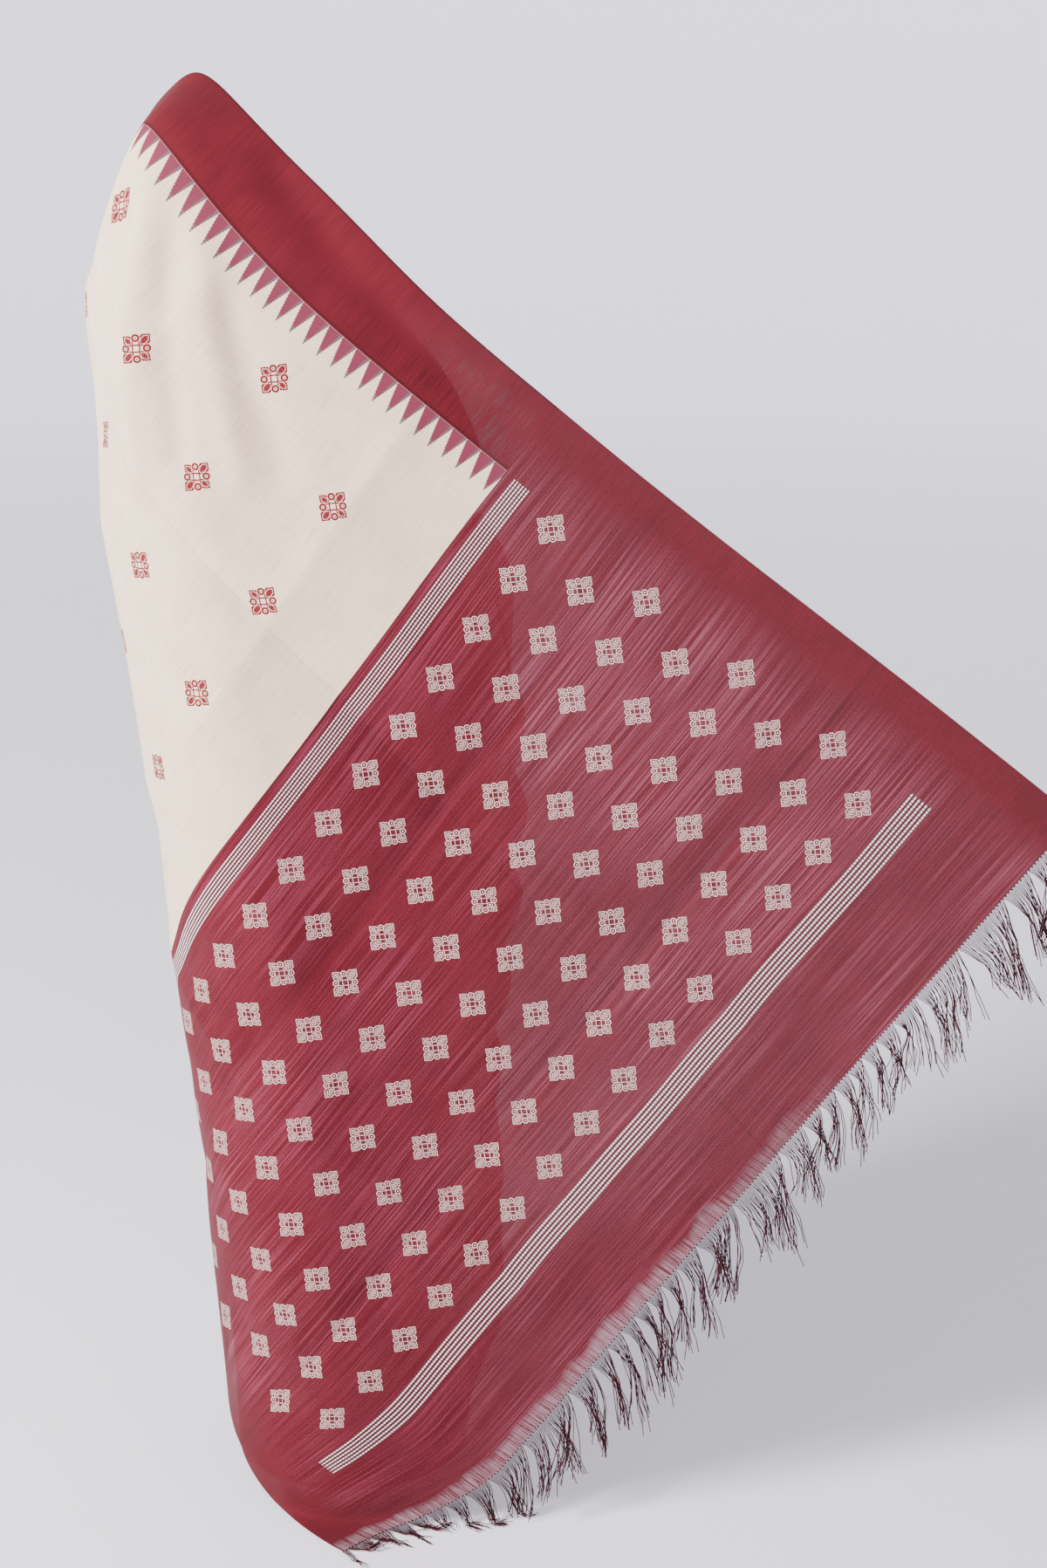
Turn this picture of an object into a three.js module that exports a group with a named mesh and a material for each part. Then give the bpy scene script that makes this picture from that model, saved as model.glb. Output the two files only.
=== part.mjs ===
// A saree as it is worn: wound round the hips, pleated in front, carried up across the bust and over
// the left shoulder, with its end spread across the back and held out to the right.
// Millimetres, +Z up. The wearer's front is -Y and the wearer's left is +X. The origin is the waist centre.
import * as THREE from 'three';

// The cloth: u runs along its length from the shoulder ridge to the fringed end, v across its width
// from the upper selvedge to the lower one.
const CLOTH_WIDTH = 1150;
const BODY_END_U = 485;
const END_U = 1115;
const WALL = 1.3;
const SEAM_GAP = 0.3;

// How the spread end hangs: the ridge's height and path position, and how far the weft leans.
const RIDGE_HEIGHT = 1516;
const RIDGE_PATH = -144;
const WEFT_LEAN = THREE.MathUtils.degToRad(39.7);
const WING_SLOPE = -0.05;
const WING_CURVE = 0.00007;

// Past this path position the cloth in front is gathered into hanging folds, to this share of its length.
const GATHER = { from: 360, share: 0.4 };

// The shoulder's squareness, and how softly the cloth rounds over the ridge.
const SHOULDER_LIFT = { amount: 20, atV: 90, spreadV: 70, spreadU: 100, frontShare: 0.25 };
const RIDGE_SOFTNESS = 26;
const RIDGE_REACH = 3;
const RIDGE_TURN = { least: 3, fromV: 40, toV: 300 };

// The lower corner is drawn in and lies on the floor, and the lower edge sags beside it.
const CORNER_PULL = { amount: 55, fromU: 850, fromV: 950 };
const EDGE_SAG = { amount: 30, atU: 800, spreadU: 200, fromV: 1000 };
const FLOOR_BEND = 16;
const FLOOR_REST = 2.2;

// Skirt levels and the layers' distances from the figure.
const WAIST_HEIGHT = 1120;
const HEM_HEIGHT = 20;
const FIGURE_X = -8;
const OUTER_OFFSET = 6;
const DRAPE_FRONT_OFFSET = 46;
const BUST_OFFSET = 12;
const WAIST_BLEND = 60;

// A general figure: half widths and half depths of its sections.
const FIGURE = {
  height: [20, 300, 580, 880, 1000, 1120, 1200, 1290, 1380, 1440, 1480, 1516],
  width: [122, 133, 150, 172, 154, 124, 140, 158, 172, 172, 160, 130],
  depth: [112, 112, 114, 118, 108, 96, 110, 124, 96, 66, 40, 8],
};

// The cloth round the left arm and the back: its left plane, the round at the back left, the plane of
// the back, how far it reaches forward over the arm and how tightly it turns there.
const HANG = {
  height: [0, 300, 600, 900, 1100, 1200, 1300, 1400, 1460, 1516],
  left: [129, 144, 165, 192, 216, 221, 222, 208, 204, 202],
  round: [150, 150, 142, 124, 114, 110, 104, 100, 99, 98],
  back: [157, 156, 148, 138, 134, 134, 128, 100, 62, 8],
  reach: [190, 205, 220, 236, 225, 150, 70, 15, 4, 2],
  turn: [28, 30, 32, 36, 40, 46, 50, 48, 30, 12],
};

// Front pleats: how many, and their spread and depth at the waist and at the hem.
const PLEATS = {
  count: 7, seat: 1.8, edgeGap: 2, waistSpread: 96, hemSpread: 190, waistDepth: 9, hemDepth: 16, lean: 0.22,
};

// Diagonal folds of the front stretch, from the right hip up to the left shoulder: how many lie across
// the width, how far they stand out and in, how unevenly they run and how much more they stand out.
const GATHERS = { count: 9, depth: 18, unevenness: 0.3, out: 0.9 };

// Fringe: strands to a strip, their length, thickness and droop, and the strip that holds their roots.
const FRINGE = {
  gap: 0.6, strands: 36, length: 60, unevenness: 0.12, radius: 1.5, band: 5, steps: 2, droop: 0.6,
};

const FULL_TURN = 2 * Math.PI;
const HALVINGS = 40;
const ARC_STEPS = 48;
const smooth = (t) => { const c = Math.min(Math.max(t, 0), 1); return c * c * (3 - 2 * c); };
const mix = (a, b, t) => a + (b - a) * t;

// A column of a section table at a height, by a smooth curve through its rows.
function rowAt(table, column, height) {
  const h = table.height;
  const y = table[column];
  const last = h.length - 1;
  if (height <= h[0]) return y[0];
  if (height >= h[last]) return y[last];
  let i = 0;
  while (height > h[i + 1]) i += 1;
  const slope = (k) => (k === 0 || k === last ? 0 : (y[k + 1] - y[k - 1]) / (h[k + 1] - h[k - 1]));
  const span = h[i + 1] - h[i];
  const t = (height - h[i]) / span;
  const a = 2 * t ** 3 - 3 * t ** 2 + 1;
  const b = t ** 3 - 2 * t ** 2 + t;
  const c = 3 * t ** 2 - 2 * t ** 3;
  const d = t ** 3 - t ** 2;
  return a * y[i] + b * span * slope(i) + c * y[i + 1] + d * span * slope(i + 1);
}

// The section that the front stretch lies on at a height: the figure, moved out over the pleats.
function drapedFigure(height) {
  const below = smooth((WAIST_HEIGHT + WAIST_BLEND - height) / (2 * WAIST_BLEND));
  return {
    x: FIGURE_X, y: 0,
    a: rowAt(FIGURE, 'width', height) + OUTER_OFFSET,
    b: rowAt(FIGURE, 'depth', height) + mix(BUST_OFFSET, DRAPE_FRONT_OFFSET, below),
  };
}

// The point of an ellipse, or of a circle, whose outward direction has this angle.
const supportOf = (e, angle) => {
  const c = Math.cos(angle);
  const s = Math.sin(angle);
  const reach = Math.hypot(e.a * c, e.b * s);
  return { x: e.x + (e.a * e.a * c) / reach, y: e.y + (e.b * e.b * s) / reach };
};
const supportReach = (e, angle) => {
  const c = Math.cos(angle);
  const s = Math.sin(angle);
  return e.x * c + e.y * s + Math.hypot(e.a * c, e.b * s);
};

// The outward angle of the straight stretch of cloth that touches both the turn and the figure.
function tangentAngle(turn, figure) {
  let low = Math.PI;
  let high = FULL_TURN;
  for (let k = 0; k < HALVINGS; k += 1) {
    const middle = (low + high) / 2;
    if (supportReach(turn, middle) > supportReach(figure, middle)) high = middle;
    else low = middle;
  }
  return (low + high) / 2;
}

// The way round the turn, along the tangent and round the figure to its right side.
function wrapPath(turn, startAngle, figure) {
  const touch = Math.min(tangentAngle(turn, figure), startAngle);
  const arc = turn.a * (startAngle - touch);
  const leave = supportOf(turn, touch);
  const meet = supportOf(figure, touch);
  const line = Math.hypot(meet.x - leave.x, meet.y - leave.y);
  const points = [meet];
  const lengths = [arc + line];
  for (let k = 1; k <= ARC_STEPS; k += 1) {
    const p = supportOf(figure, mix(touch, Math.PI, k / ARC_STEPS));
    const q = points[k - 1];
    points.push(p);
    lengths.push(lengths[k - 1] + Math.hypot(p.x - q.x, p.y - q.y));
  }
  return { turn, startAngle, arc, line, leave, meet, points, lengths, total: lengths[ARC_STEPS], touch };
}

function pointOnWrap(path, distance) {
  if (distance <= path.arc) return supportOf(path.turn, path.startAngle - distance / path.turn.a);
  if (distance <= path.arc + path.line) {
    const t = (distance - path.arc) / path.line;
    return { x: mix(path.leave.x, path.meet.x, t), y: mix(path.leave.y, path.meet.y, t) };
  }
  const last = path.lengths.length - 1;
  let k = 0;
  while (k < last - 1 && distance > path.lengths[k + 1]) k += 1;
  const t = Math.min((distance - path.lengths[k]) / (path.lengths[k + 1] - path.lengths[k]), 1);
  const [p, q] = [path.points[k], path.points[k + 1]];
  return { x: mix(p.x, q.x, t), y: mix(p.y, q.y, t) };
}

// A level cut through the hanging cloth. The path position is 0 at the left plane, negative towards
// the back and the wing, positive towards the front. It gives the point and the outward angle.
function hangPoint(height, path) {
  const left = rowAt(HANG, 'left', height);
  const round = rowAt(HANG, 'round', height);
  const back = rowAt(HANG, 'back', height);
  const reach = rowAt(HANG, 'reach', height);
  if (path < 0) {
    const angle = Math.min(-path / round, Math.PI / 2);
    const over = Math.max(-path - round * Math.PI / 2, 0);
    return {
      x: left - round + round * Math.cos(angle) - over,
      y: back - round + round * Math.sin(angle) + over * (WING_SLOPE + WING_CURVE * over),
      angle,
    };
  }
  if (path < reach) return { x: left, y: back - round - path, angle: 0 };
  const radius = rowAt(HANG, 'turn', height);
  const turn = { x: left - radius, y: back - round - reach, a: radius, b: radius };
  const wrap = wrapPath(turn, FULL_TURN, drapedFigure(height));
  const p = pointOnWrap(wrap, path - reach);
  const angle = Math.max(wrap.touch - FULL_TURN, -(path - reach) / radius);
  return { x: p.x, y: p.y, angle };
}

// The path position of a point of the cloth, gathered in front.
function pathOf(u, v) {
  const flat = RIDGE_PATH + Math.sin(WEFT_LEAN) * v - Math.cos(WEFT_LEAN) * u;
  return flat < GATHER.from ? flat : GATHER.from + GATHER.share * (flat - GATHER.from);
}

// Where the cloth is eased: drawn in at its lower corner and sagging at its lower edge.
function eased(u, v) {
  const corner = smooth((u - CORNER_PULL.fromU) / (END_U - CORNER_PULL.fromU))
    * smooth((v - CORNER_PULL.fromV) / (CLOTH_WIDTH - CORNER_PULL.fromV));
  const sag = Math.exp(-(((u - EDGE_SAG.atU) / EDGE_SAG.spreadU) ** 2))
    * smooth((v - EDGE_SAG.fromV) / (CLOTH_WIDTH - EDGE_SAG.fromV));
  return { u: u - CORNER_PULL.amount * corner, v: v + EDGE_SAG.amount * sag };
}

function shoulderLift(u, v) {
  const { amount, atV, spreadV, spreadU } = SHOULDER_LIFT;
  return amount * Math.exp(-(((v - atV) / spreadV) ** 2) - (u / spreadU) ** 2);
}

// The end spread behind the figure, from the ridge to the fringe.
function backPoint(u, v) {
  const e = eased(u, v);
  const height = RIDGE_HEIGHT - Math.cos(WEFT_LEAN) * e.v - Math.sin(WEFT_LEAN) * e.u;
  const p = hangPoint(Math.max(height, 0), pathOf(e.u, e.v));
  if (height >= FLOOR_BEND) return new THREE.Vector3(p.x, p.y, height + shoulderLift(u, v));
  const excess = FLOOR_BEND - height;
  const bend = FLOOR_BEND - FLOOR_REST;
  const left = Math.exp(-excess / bend);
  const along = excess - bend * (1 - left);
  return new THREE.Vector3(p.x, p.y + along, FLOOR_REST + bend * left);
}

// The stretch across the front, from the ridge (w = 0) to the right hip (w = 1).
function frontPoint(w, v) {
  const e = eased(0, v);
  const ridgeHeight = RIDGE_HEIGHT - Math.cos(WEFT_LEAN) * e.v;
  const ridge = hangPoint(ridgeHeight, pathOf(0, e.v));
  const hipHeight = mix(WAIST_HEIGHT, HEM_HEIGHT, v / CLOTH_WIDTH);
  const height = mix(ridgeHeight, hipHeight, w);
  const opened = smooth((v - RIDGE_TURN.fromV) / (RIDGE_TURN.toV - RIDGE_TURN.fromV));
  const radius = mix(RIDGE_TURN.least, rowAt(HANG, 'turn', ridgeHeight), opened);
  const turn = {
    x: ridge.x - radius * Math.cos(ridge.angle), y: ridge.y - radius * Math.sin(ridge.angle),
    a: radius, b: radius,
  };
  const wrap = wrapPath(turn, FULL_TURN + ridge.angle, drapedFigure(height));
  const p = pointOnWrap(wrap, w * wrap.total);
  const lift = shoulderLift(0, v) * (1 - smooth(w / SHOULDER_LIFT.frontShare));
  return new THREE.Vector3(p.x, p.y, height + lift);
}

// How far the front folds lift the cloth. The share runs from the ridge (0) to the right hip (1), and
// across runs over the width (0 to 1).
function gatherLift(share, across) {
  const phase = GATHERS.count * across
    + GATHERS.unevenness * Math.sin(FULL_TURN * (1.3 * across + 0.4 * share));
  const depth = GATHERS.depth * (1 + 0.22 * Math.sin(FULL_TURN * (2.3 * across + 0.2)));
  const ends = smooth((share - 0.05) / 0.3) * smooth((1.03 - share) / 0.15);
  return depth * ends * smooth(across / 0.05 + 0.3) * (GATHERS.out + Math.sin(FULL_TURN * phase));
}

// Grid points of the whole shoulder cloth, row by row across the width, rounded over the ridge and
// gathered in front.
function shoulderCloth(frontSteps, shoulderSteps, fieldSteps, widthSteps) {
  const columns = frontSteps + shoulderSteps + fieldSteps + 1;
  const grid = [];
  for (let j = 0; j <= widthSteps; j += 1) {
    const v = (CLOTH_WIDTH * j) / widthSteps;
    const row = [];
    for (let i = 0; i < columns; i += 1) {
      const k = i - frontSteps;
      if (k < 0) row.push(frontPoint(-k / frontSteps, v));
      else if (k <= shoulderSteps) row.push(backPoint((BODY_END_U * k) / shoulderSteps, v));
      else row.push(backPoint(mix(BODY_END_U, END_U, (k - shoulderSteps) / fieldSteps), v));
    }
    grid.push(row);
  }
  const step = BODY_END_U / shoulderSteps;
  const passes = Math.round((2 * RIDGE_SOFTNESS ** 2) / step ** 2);
  for (let pass = 0; pass < passes; pass += 1) {
    for (const row of grid) {
      const before = row.map((p) => p.clone());
      for (let i = frontSteps - RIDGE_REACH; i <= frontSteps + RIDGE_REACH; i += 1) {
        const sides = before[i - 1].clone().add(before[i + 1]).multiplyScalar(0.25);
        row[i].multiplyScalar(0.5).add(sides);
      }
    }
  }
  normalsOf(grid, false).forEach((normals, j) => normals.slice(0, frontSteps).forEach((normal, i) => {
    grid[j][i].addScaledVector(normal, -gatherLift(1 - i / frontSteps, j / widthSteps));
  }));
  return grid;
}

// The inward directions at the points of a grid. A closed grid joins its last column to its first.
function normalsOf(grid, closed) {
  const columns = grid[0].length;
  const at = (j, i) => {
    const c = closed ? (i + columns) % columns : Math.min(Math.max(i, 0), columns - 1);
    return grid[Math.min(Math.max(j, 0), grid.length - 1)][c];
  };
  return grid.map((row, j) => row.map((_, i) => {
    const along = at(j, i + 1).clone().sub(at(j, i - 1));
    const down = at(j + 1, i).clone().sub(at(j - 1, i));
    return along.cross(down).normalize();
  }));
}

// A cloth wall from a grid of points on its middle: two faces a wall apart, with rims.
function wallGeometry({ grid, normals, closed }) {
  const rows = grid.length;
  const columns = grid[0].length;
  const positions = [];
  for (const side of [1, -1]) {
    grid.forEach((row, j) => row.forEach((point, i) => {
      const p = point.clone().addScaledVector(normals[j][i], (side * WALL) / 2);
      positions.push(p.x, p.y, p.z);
    }));
  }
  const index = [];
  const face = (side, j, i) => side * rows * columns + j * columns + (i % columns);
  const quad = (a, b, c, d) => index.push(a, b, c, a, c, d);
  const spans = closed ? columns : columns - 1;
  for (let j = 0; j < rows - 1; j += 1) {
    for (let i = 0; i < spans; i += 1) {
      quad(face(0, j, i), face(0, j, i + 1), face(0, j + 1, i + 1), face(0, j + 1, i));
      quad(face(1, j, i), face(1, j + 1, i), face(1, j + 1, i + 1), face(1, j, i + 1));
    }
    if (!closed) {
      quad(face(0, j, 0), face(0, j + 1, 0), face(1, j + 1, 0), face(1, j, 0));
      const e = columns - 1;
      quad(face(0, j, e), face(1, j, e), face(1, j + 1, e), face(0, j + 1, e));
    }
  }
  for (let i = 0; i < spans; i += 1) {
    quad(face(0, 0, i), face(1, 0, i), face(1, 0, i + 1), face(0, 0, i + 1));
    const e = rows - 1;
    quad(face(0, e, i), face(0, e, i + 1), face(1, e, i + 1), face(1, e, i));
  }
  const geometry = new THREE.BufferGeometry();
  geometry.setAttribute('position', new THREE.Float32BufferAttribute(positions, 3));
  geometry.setIndex(index);
  geometry.computeVertexNormals();
  return geometry;
}

const sheetOf = (grid, closed = false) => ({ grid, normals: normalsOf(grid, closed), closed });

// Columns of a sheet as a piece of its own, drawn back from its neighbours by half a seam gap.
function cutColumns(sheet, from, to) {
  const last = sheet.grid[0].length - 1;
  const draw = (edge, next) => edge.addScaledVector(next.clone().sub(edge).normalize(), SEAM_GAP / 2);
  const grid = sheet.grid.map((row) => {
    const piece = row.slice(from, to + 1).map((p) => p.clone());
    if (from > 0) draw(piece[0], piece[1]);
    if (to < last) draw(piece[piece.length - 1], piece[piece.length - 2]);
    return piece;
  });
  return { grid, normals: sheet.normals.map((row) => row.slice(from, to + 1)), closed: false };
}

const pleatSpread = (t) => mix(PLEATS.waistSpread, PLEATS.hemSpread, t);

// Rows of a skirt layer: level cuts through the figure, moved out. A closed one goes all round. An open
// one starts at the pleats' left edge and goes round the left and the back to the right side.
function skirtLayer(offset, steps, levels, closed = false) {
  const grid = [];
  for (let j = 0; j <= levels; j += 1) {
    const height = mix(WAIST_HEIGHT, HEM_HEIGHT, j / levels);
    const section = {
      x: FIGURE_X, a: rowAt(FIGURE, 'width', height) + offset, b: rowAt(FIGURE, 'depth', height) + offset,
    };
    const start = closed ? 0 : -Math.acos((pleatSpread(j / levels) / 2 + PLEATS.edgeGap) / section.a);
    const end = closed ? FULL_TURN : Math.PI - SEAM_GAP / section.b;
    const row = [];
    for (let i = 0; i <= (closed ? steps - 1 : steps); i += 1) {
      const angle = mix(start, end, i / steps);
      const x = section.x + section.a * Math.cos(angle);
      row.push(new THREE.Vector3(x, section.b * Math.sin(angle), height));
    }
    grid.push(row);
  }
  return grid;
}

// The front pleats: a pressed wave in the cloth, tucked narrow at the waist and fanning to the hem.
function pleatGrid(perPleat, levels) {
  const steps = PLEATS.count * perPleat;
  const grid = [];
  for (let j = 0; j <= levels; j += 1) {
    const t = j / levels;
    const height = mix(WAIST_HEIGHT, HEM_HEIGHT, t);
    const halfDepth = rowAt(FIGURE, 'depth', height);
    const halfWidth = rowAt(FIGURE, 'width', height);
    const spread = pleatSpread(t);
    const depth = mix(PLEATS.waistDepth, PLEATS.hemDepth, t);
    const row = [];
    for (let i = 0; i <= steps; i += 1) {
      const phase = (FULL_TURN * i) / perPleat;
      const across = spread * (i / steps - 0.5) - (spread / PLEATS.count) * PLEATS.lean * Math.sin(phase);
      const seat = mix(PLEATS.seat, OUTER_OFFSET, smooth(i / steps));
      const surface = halfDepth * Math.sqrt(1 - (across / halfWidth) ** 2) + seat;
      const y = -surface - depth * (1 - Math.cos(phase)) / 2;
      row.push(new THREE.Vector3(FIGURE_X + across, y, height));
    }
    grid.push(row);
  }
  return grid;
}

// The end edge of a sheet at a share of its width: its point, its directions out and along, its normal.
function endEdge(sheet, share) {
  const rows = sheet.grid.length - 1;
  const j = Math.min(Math.floor(share * rows), rows - 1);
  const t = share * rows - j;
  const last = sheet.grid[0].length - 1;
  const outAt = (k) => sheet.grid[k][last].clone().sub(sheet.grid[k][last - 1]).normalize();
  return {
    root: sheet.grid[j][last].clone().lerp(sheet.grid[j + 1][last], t),
    out: outAt(j).lerp(outAt(j + 1), t).normalize(),
    along: sheet.grid[j + 1][last].clone().sub(sheet.grid[j][last]).normalize(),
    normal: sheet.normals[j][last].clone().lerp(sheet.normals[j + 1][last], t).normalize(),
  };
}

// A strip of fringe along the end edge: a narrow band, with a strand standing out of every other cell.
function fringeGeometry(sheet, from, to) {
  const cells = 2 * FRINGE.strands - 1;
  const positions = [];
  const index = [];
  const quad = (a, b, c, d) => index.push(a, b, c, a, c, d);
  const put = (p) => positions.push(p.x, p.y, p.z) / 3 - 1;

  const frames = [];
  for (let k = 0; k <= cells; k += 1) {
    const { root, out, along, normal } = endEdge(sheet, mix(from, to, k / cells));
    const inner = root.addScaledVector(out, FRINGE.gap);
    const outer = inner.clone().addScaledVector(out, FRINGE.band);
    const corners = [[inner, -1], [inner, 1], [outer, 1], [outer, -1]];
    const ring = corners.map(([p, side]) => put(p.clone().addScaledVector(normal, (side * WALL) / 2)));
    frames.push({ out, along, normal, outer, ring });
  }
  frames.slice(1).forEach((next, k) => {
    const a = frames[k].ring;
    const b = next.ring;
    for (const e of [0, 1, 3]) quad(a[e], a[(e + 1) % 4], b[(e + 1) % 4], b[e]);
    let base = [a[2], a[3], b[3], b[2]];
    if (k % 2 === 0) {
      const { out, along, normal } = frames[k];
      const root = frames[k].outer.clone().lerp(next.outer, 0.5);
      const length = FRINGE.length * (1 - FRINGE.unevenness * (1 + Math.sin(k * k)));
      for (let step = 1; step <= FRINGE.steps; step += 1) {
        const t = step / FRINGE.steps;
        const centre = root.clone().addScaledVector(out, length * t * (1 - (FRINGE.droop * t) / 2));
        centre.z = Math.max(centre.z - FRINGE.droop * length * t * t, FLOOR_REST + FRINGE.radius / 2);
        const r = FRINGE.radius * (1 - t / 3);
        const sides = [[-r, r], [-r, -r], [r, -r], [r, r]];
        const ring = sides.map(([m, n]) => (
          put(centre.clone().addScaledVector(along, m).addScaledVector(normal, n / 2))
        ));
        for (let e = 0; e < 4; e += 1) quad(base[e], base[(e + 1) % 4], ring[(e + 1) % 4], ring[e]);
        base = ring;
      }
    }
    quad(...base);
  });
  quad(...[...frames[0].ring].reverse());
  quad(...frames[cells].ring);
  const geometry = new THREE.BufferGeometry();
  geometry.setAttribute('position', new THREE.Float32BufferAttribute(positions, 3));
  geometry.setIndex(index);
  geometry.computeVertexNormals();
  return geometry;
}

const STEPS = { front: 20, shoulder: 14, field: 16, width: 50, skirt: 36, levels: 6, perPleat: 8 };

const saree = new THREE.Group();
saree.position.z = -WAIST_HEIGHT;

function addPiece(name, geometry, { color, roughness }) {
  const piece = new THREE.Mesh(geometry, new THREE.MeshStandardMaterial({ color, roughness }));
  piece.name = name;
  saree.add(piece);
}

const CREAM = { color: 0xe3dbcc, roughness: 0.8 };
const MAROON = { color: 0x93303c, roughness: 0.7 };
const THREAD = { color: 0x5a1a26, roughness: 0.6 };

const { front, shoulder, field, width, skirt, levels, perPleat } = STEPS;
const cloth = sheetOf(shoulderCloth(front, shoulder, field, width));
const bodyEnd = front + shoulder;
const firstTurn = sheetOf(skirtLayer(0, skirt, levels, true), true);
const secondTurn = sheetOf(skirtLayer(OUTER_OFFSET, skirt, levels));

addPiece('skirt_first_turn', wallGeometry(firstTurn), CREAM);
addPiece('skirt_second_turn', wallGeometry(secondTurn), CREAM);
addPiece('front_pleats', wallGeometry(sheetOf(pleatGrid(perPleat, levels))), CREAM);
addPiece('front_drape', wallGeometry(cutColumns(cloth, 0, front)), CREAM);
addPiece('shoulder_fall', wallGeometry(cutColumns(cloth, front, bodyEnd)), CREAM);
addPiece('spread_end', wallGeometry(cutColumns(cloth, bodyEnd, bodyEnd + field)), MAROON);

['fringe_upper', 'fringe_middle', 'fringe_lower'].forEach((name, k, all) => {
  const margin = SEAM_GAP / CLOTH_WIDTH;
  addPiece(name, fringeGeometry(cloth, k / all.length + margin, (k + 1) / all.length - margin), THREAD);
});

export default saree;
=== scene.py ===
"""A saree as it is worn, seen from behind, with its figured end spread across the back.

The cloth follows the form that the frame holds. Its weave, borders, bands and motifs are worked out
in the cloth's own measure: u runs along its length from the shoulder ridge to the fringed end, and
v runs across its width from the upper selvedge.
"""
import logging
import math
from dataclasses import dataclass, replace
from enum import Enum
from typing import Any, Callable, NamedTuple, Optional, Sequence, Union

import bpy
import numpy as np
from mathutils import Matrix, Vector


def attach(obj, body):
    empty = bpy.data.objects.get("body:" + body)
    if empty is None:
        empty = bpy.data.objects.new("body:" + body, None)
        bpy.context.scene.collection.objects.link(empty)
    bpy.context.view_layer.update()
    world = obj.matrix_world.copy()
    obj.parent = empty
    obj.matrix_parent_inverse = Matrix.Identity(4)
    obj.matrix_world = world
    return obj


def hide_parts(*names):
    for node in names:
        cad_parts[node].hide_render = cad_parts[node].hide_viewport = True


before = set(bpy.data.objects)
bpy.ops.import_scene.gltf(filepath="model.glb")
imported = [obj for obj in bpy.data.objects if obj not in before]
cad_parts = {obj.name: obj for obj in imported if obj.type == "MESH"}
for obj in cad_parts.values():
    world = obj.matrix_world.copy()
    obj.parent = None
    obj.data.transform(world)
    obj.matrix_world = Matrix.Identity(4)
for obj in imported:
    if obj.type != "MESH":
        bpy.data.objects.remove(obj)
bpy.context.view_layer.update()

LOG = logging.getLogger("saree")
BODY = "root"
MM = 0.001
WAIST_HEIGHT = 1.120
FLOOR_Z = -WAIST_HEIGHT


def smooth(t: np.ndarray) -> np.ndarray:
    """A soft step from 0 to 1 as t goes from 0 to 1."""
    c = np.clip(t, 0.0, 1.0)
    return c * c * (3.0 - 2.0 * c)


def mix(a: Any, b: Any, t: Any) -> Any:
    """The value between a and b at share t."""
    return a + (b - a) * t


@dataclass(frozen=True)
class Sections:
    """Level sections of a form: heights above the floor and one row of sizes for each column.

    Args:
        height: the sections' heights, in millimetres.
        columns: the name of each column and its sizes, in millimetres.
    """

    height: tuple[float, ...]
    columns: dict[str, tuple[float, ...]]

    def at(self, column: str, height: np.ndarray) -> np.ndarray:
        """Reads a column by a smooth curve through its rows.

        Args:
            column: the column's name.
            height: heights above the floor, in metres.

        Returns:
            The sizes there, in metres.
        """
        h = np.asarray(self.height) * MM
        y = np.asarray(self.columns[column]) * MM
        slope = np.zeros_like(y)
        slope[1:-1] = (y[2:] - y[:-2]) / (h[2:] - h[:-2])
        x = np.clip(height, h[0], h[-1])
        i = np.clip(np.searchsorted(h, x, side="right") - 1, 0, len(h) - 2)
        span = h[i + 1] - h[i]
        t = (x - h[i]) / span
        first = (2 * t**3 - 3 * t**2 + 1) * y[i] + (t**3 - 2 * t**2 + t) * span * slope[i]
        return first + (3 * t**2 - 2 * t**3) * y[i + 1] + (t**3 - t**2) * span * slope[i + 1]


FIGURE = Sections(
    height=(20, 300, 580, 880, 1000, 1120, 1200, 1290, 1380, 1440, 1480, 1516),
    columns={
        "width": (122, 133, 150, 172, 154, 124, 140, 158, 172, 172, 160, 130),
        "depth": (112, 112, 114, 118, 108, 96, 110, 124, 96, 66, 40, 8),
    },
)
HANG = Sections(
    height=(0, 300, 600, 900, 1100, 1200, 1300, 1400, 1460, 1516),
    columns={
        "left": (129, 144, 165, 192, 216, 221, 222, 208, 204, 202),
        "round": (150, 150, 142, 124, 114, 110, 104, 100, 99, 98),
        "back": (157, 156, 148, 138, 134, 134, 128, 100, 62, 8),
        "reach": (190, 205, 220, 236, 225, 150, 70, 15, 4, 2),
        "turn": (28, 30, 32, 36, 40, 46, 50, 48, 30, 12),
    },
)


class Fold(NamedTuple):
    """A soft trough or ridge in the cloth, along a line between two of its points.

    Args:
        u0, v0: where it starts, in metres of cloth.
        u1, v1: where it ends.
        depth: how far it stands out, in millimetres, or in if negative.
        width: half its width, in millimetres.
        sharp: 1 for a pressed crease, 2 for a rounded fold.
    """

    u0: float
    v0: float
    u1: float
    v1: float
    depth: float
    width: float
    sharp: float = 2.0

    def lift(self, u: np.ndarray, v: np.ndarray) -> np.ndarray:
        """How far the fold lifts the cloth at these points, in metres."""
        du, dv = self.u1 - self.u0, self.v1 - self.v0
        length = math.hypot(du, dv)
        along = ((u - self.u0) * du + (v - self.v0) * dv) / length**2
        across = ((u - self.u0) * dv - (v - self.v0) * du) / length
        ends = smooth(along / 0.18 + 0.5) * smooth((1.0 - along) / 0.18 + 0.5)
        return self.depth * MM * ends * np.exp(-np.abs(across / (self.width * MM)) ** self.sharp)


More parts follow.
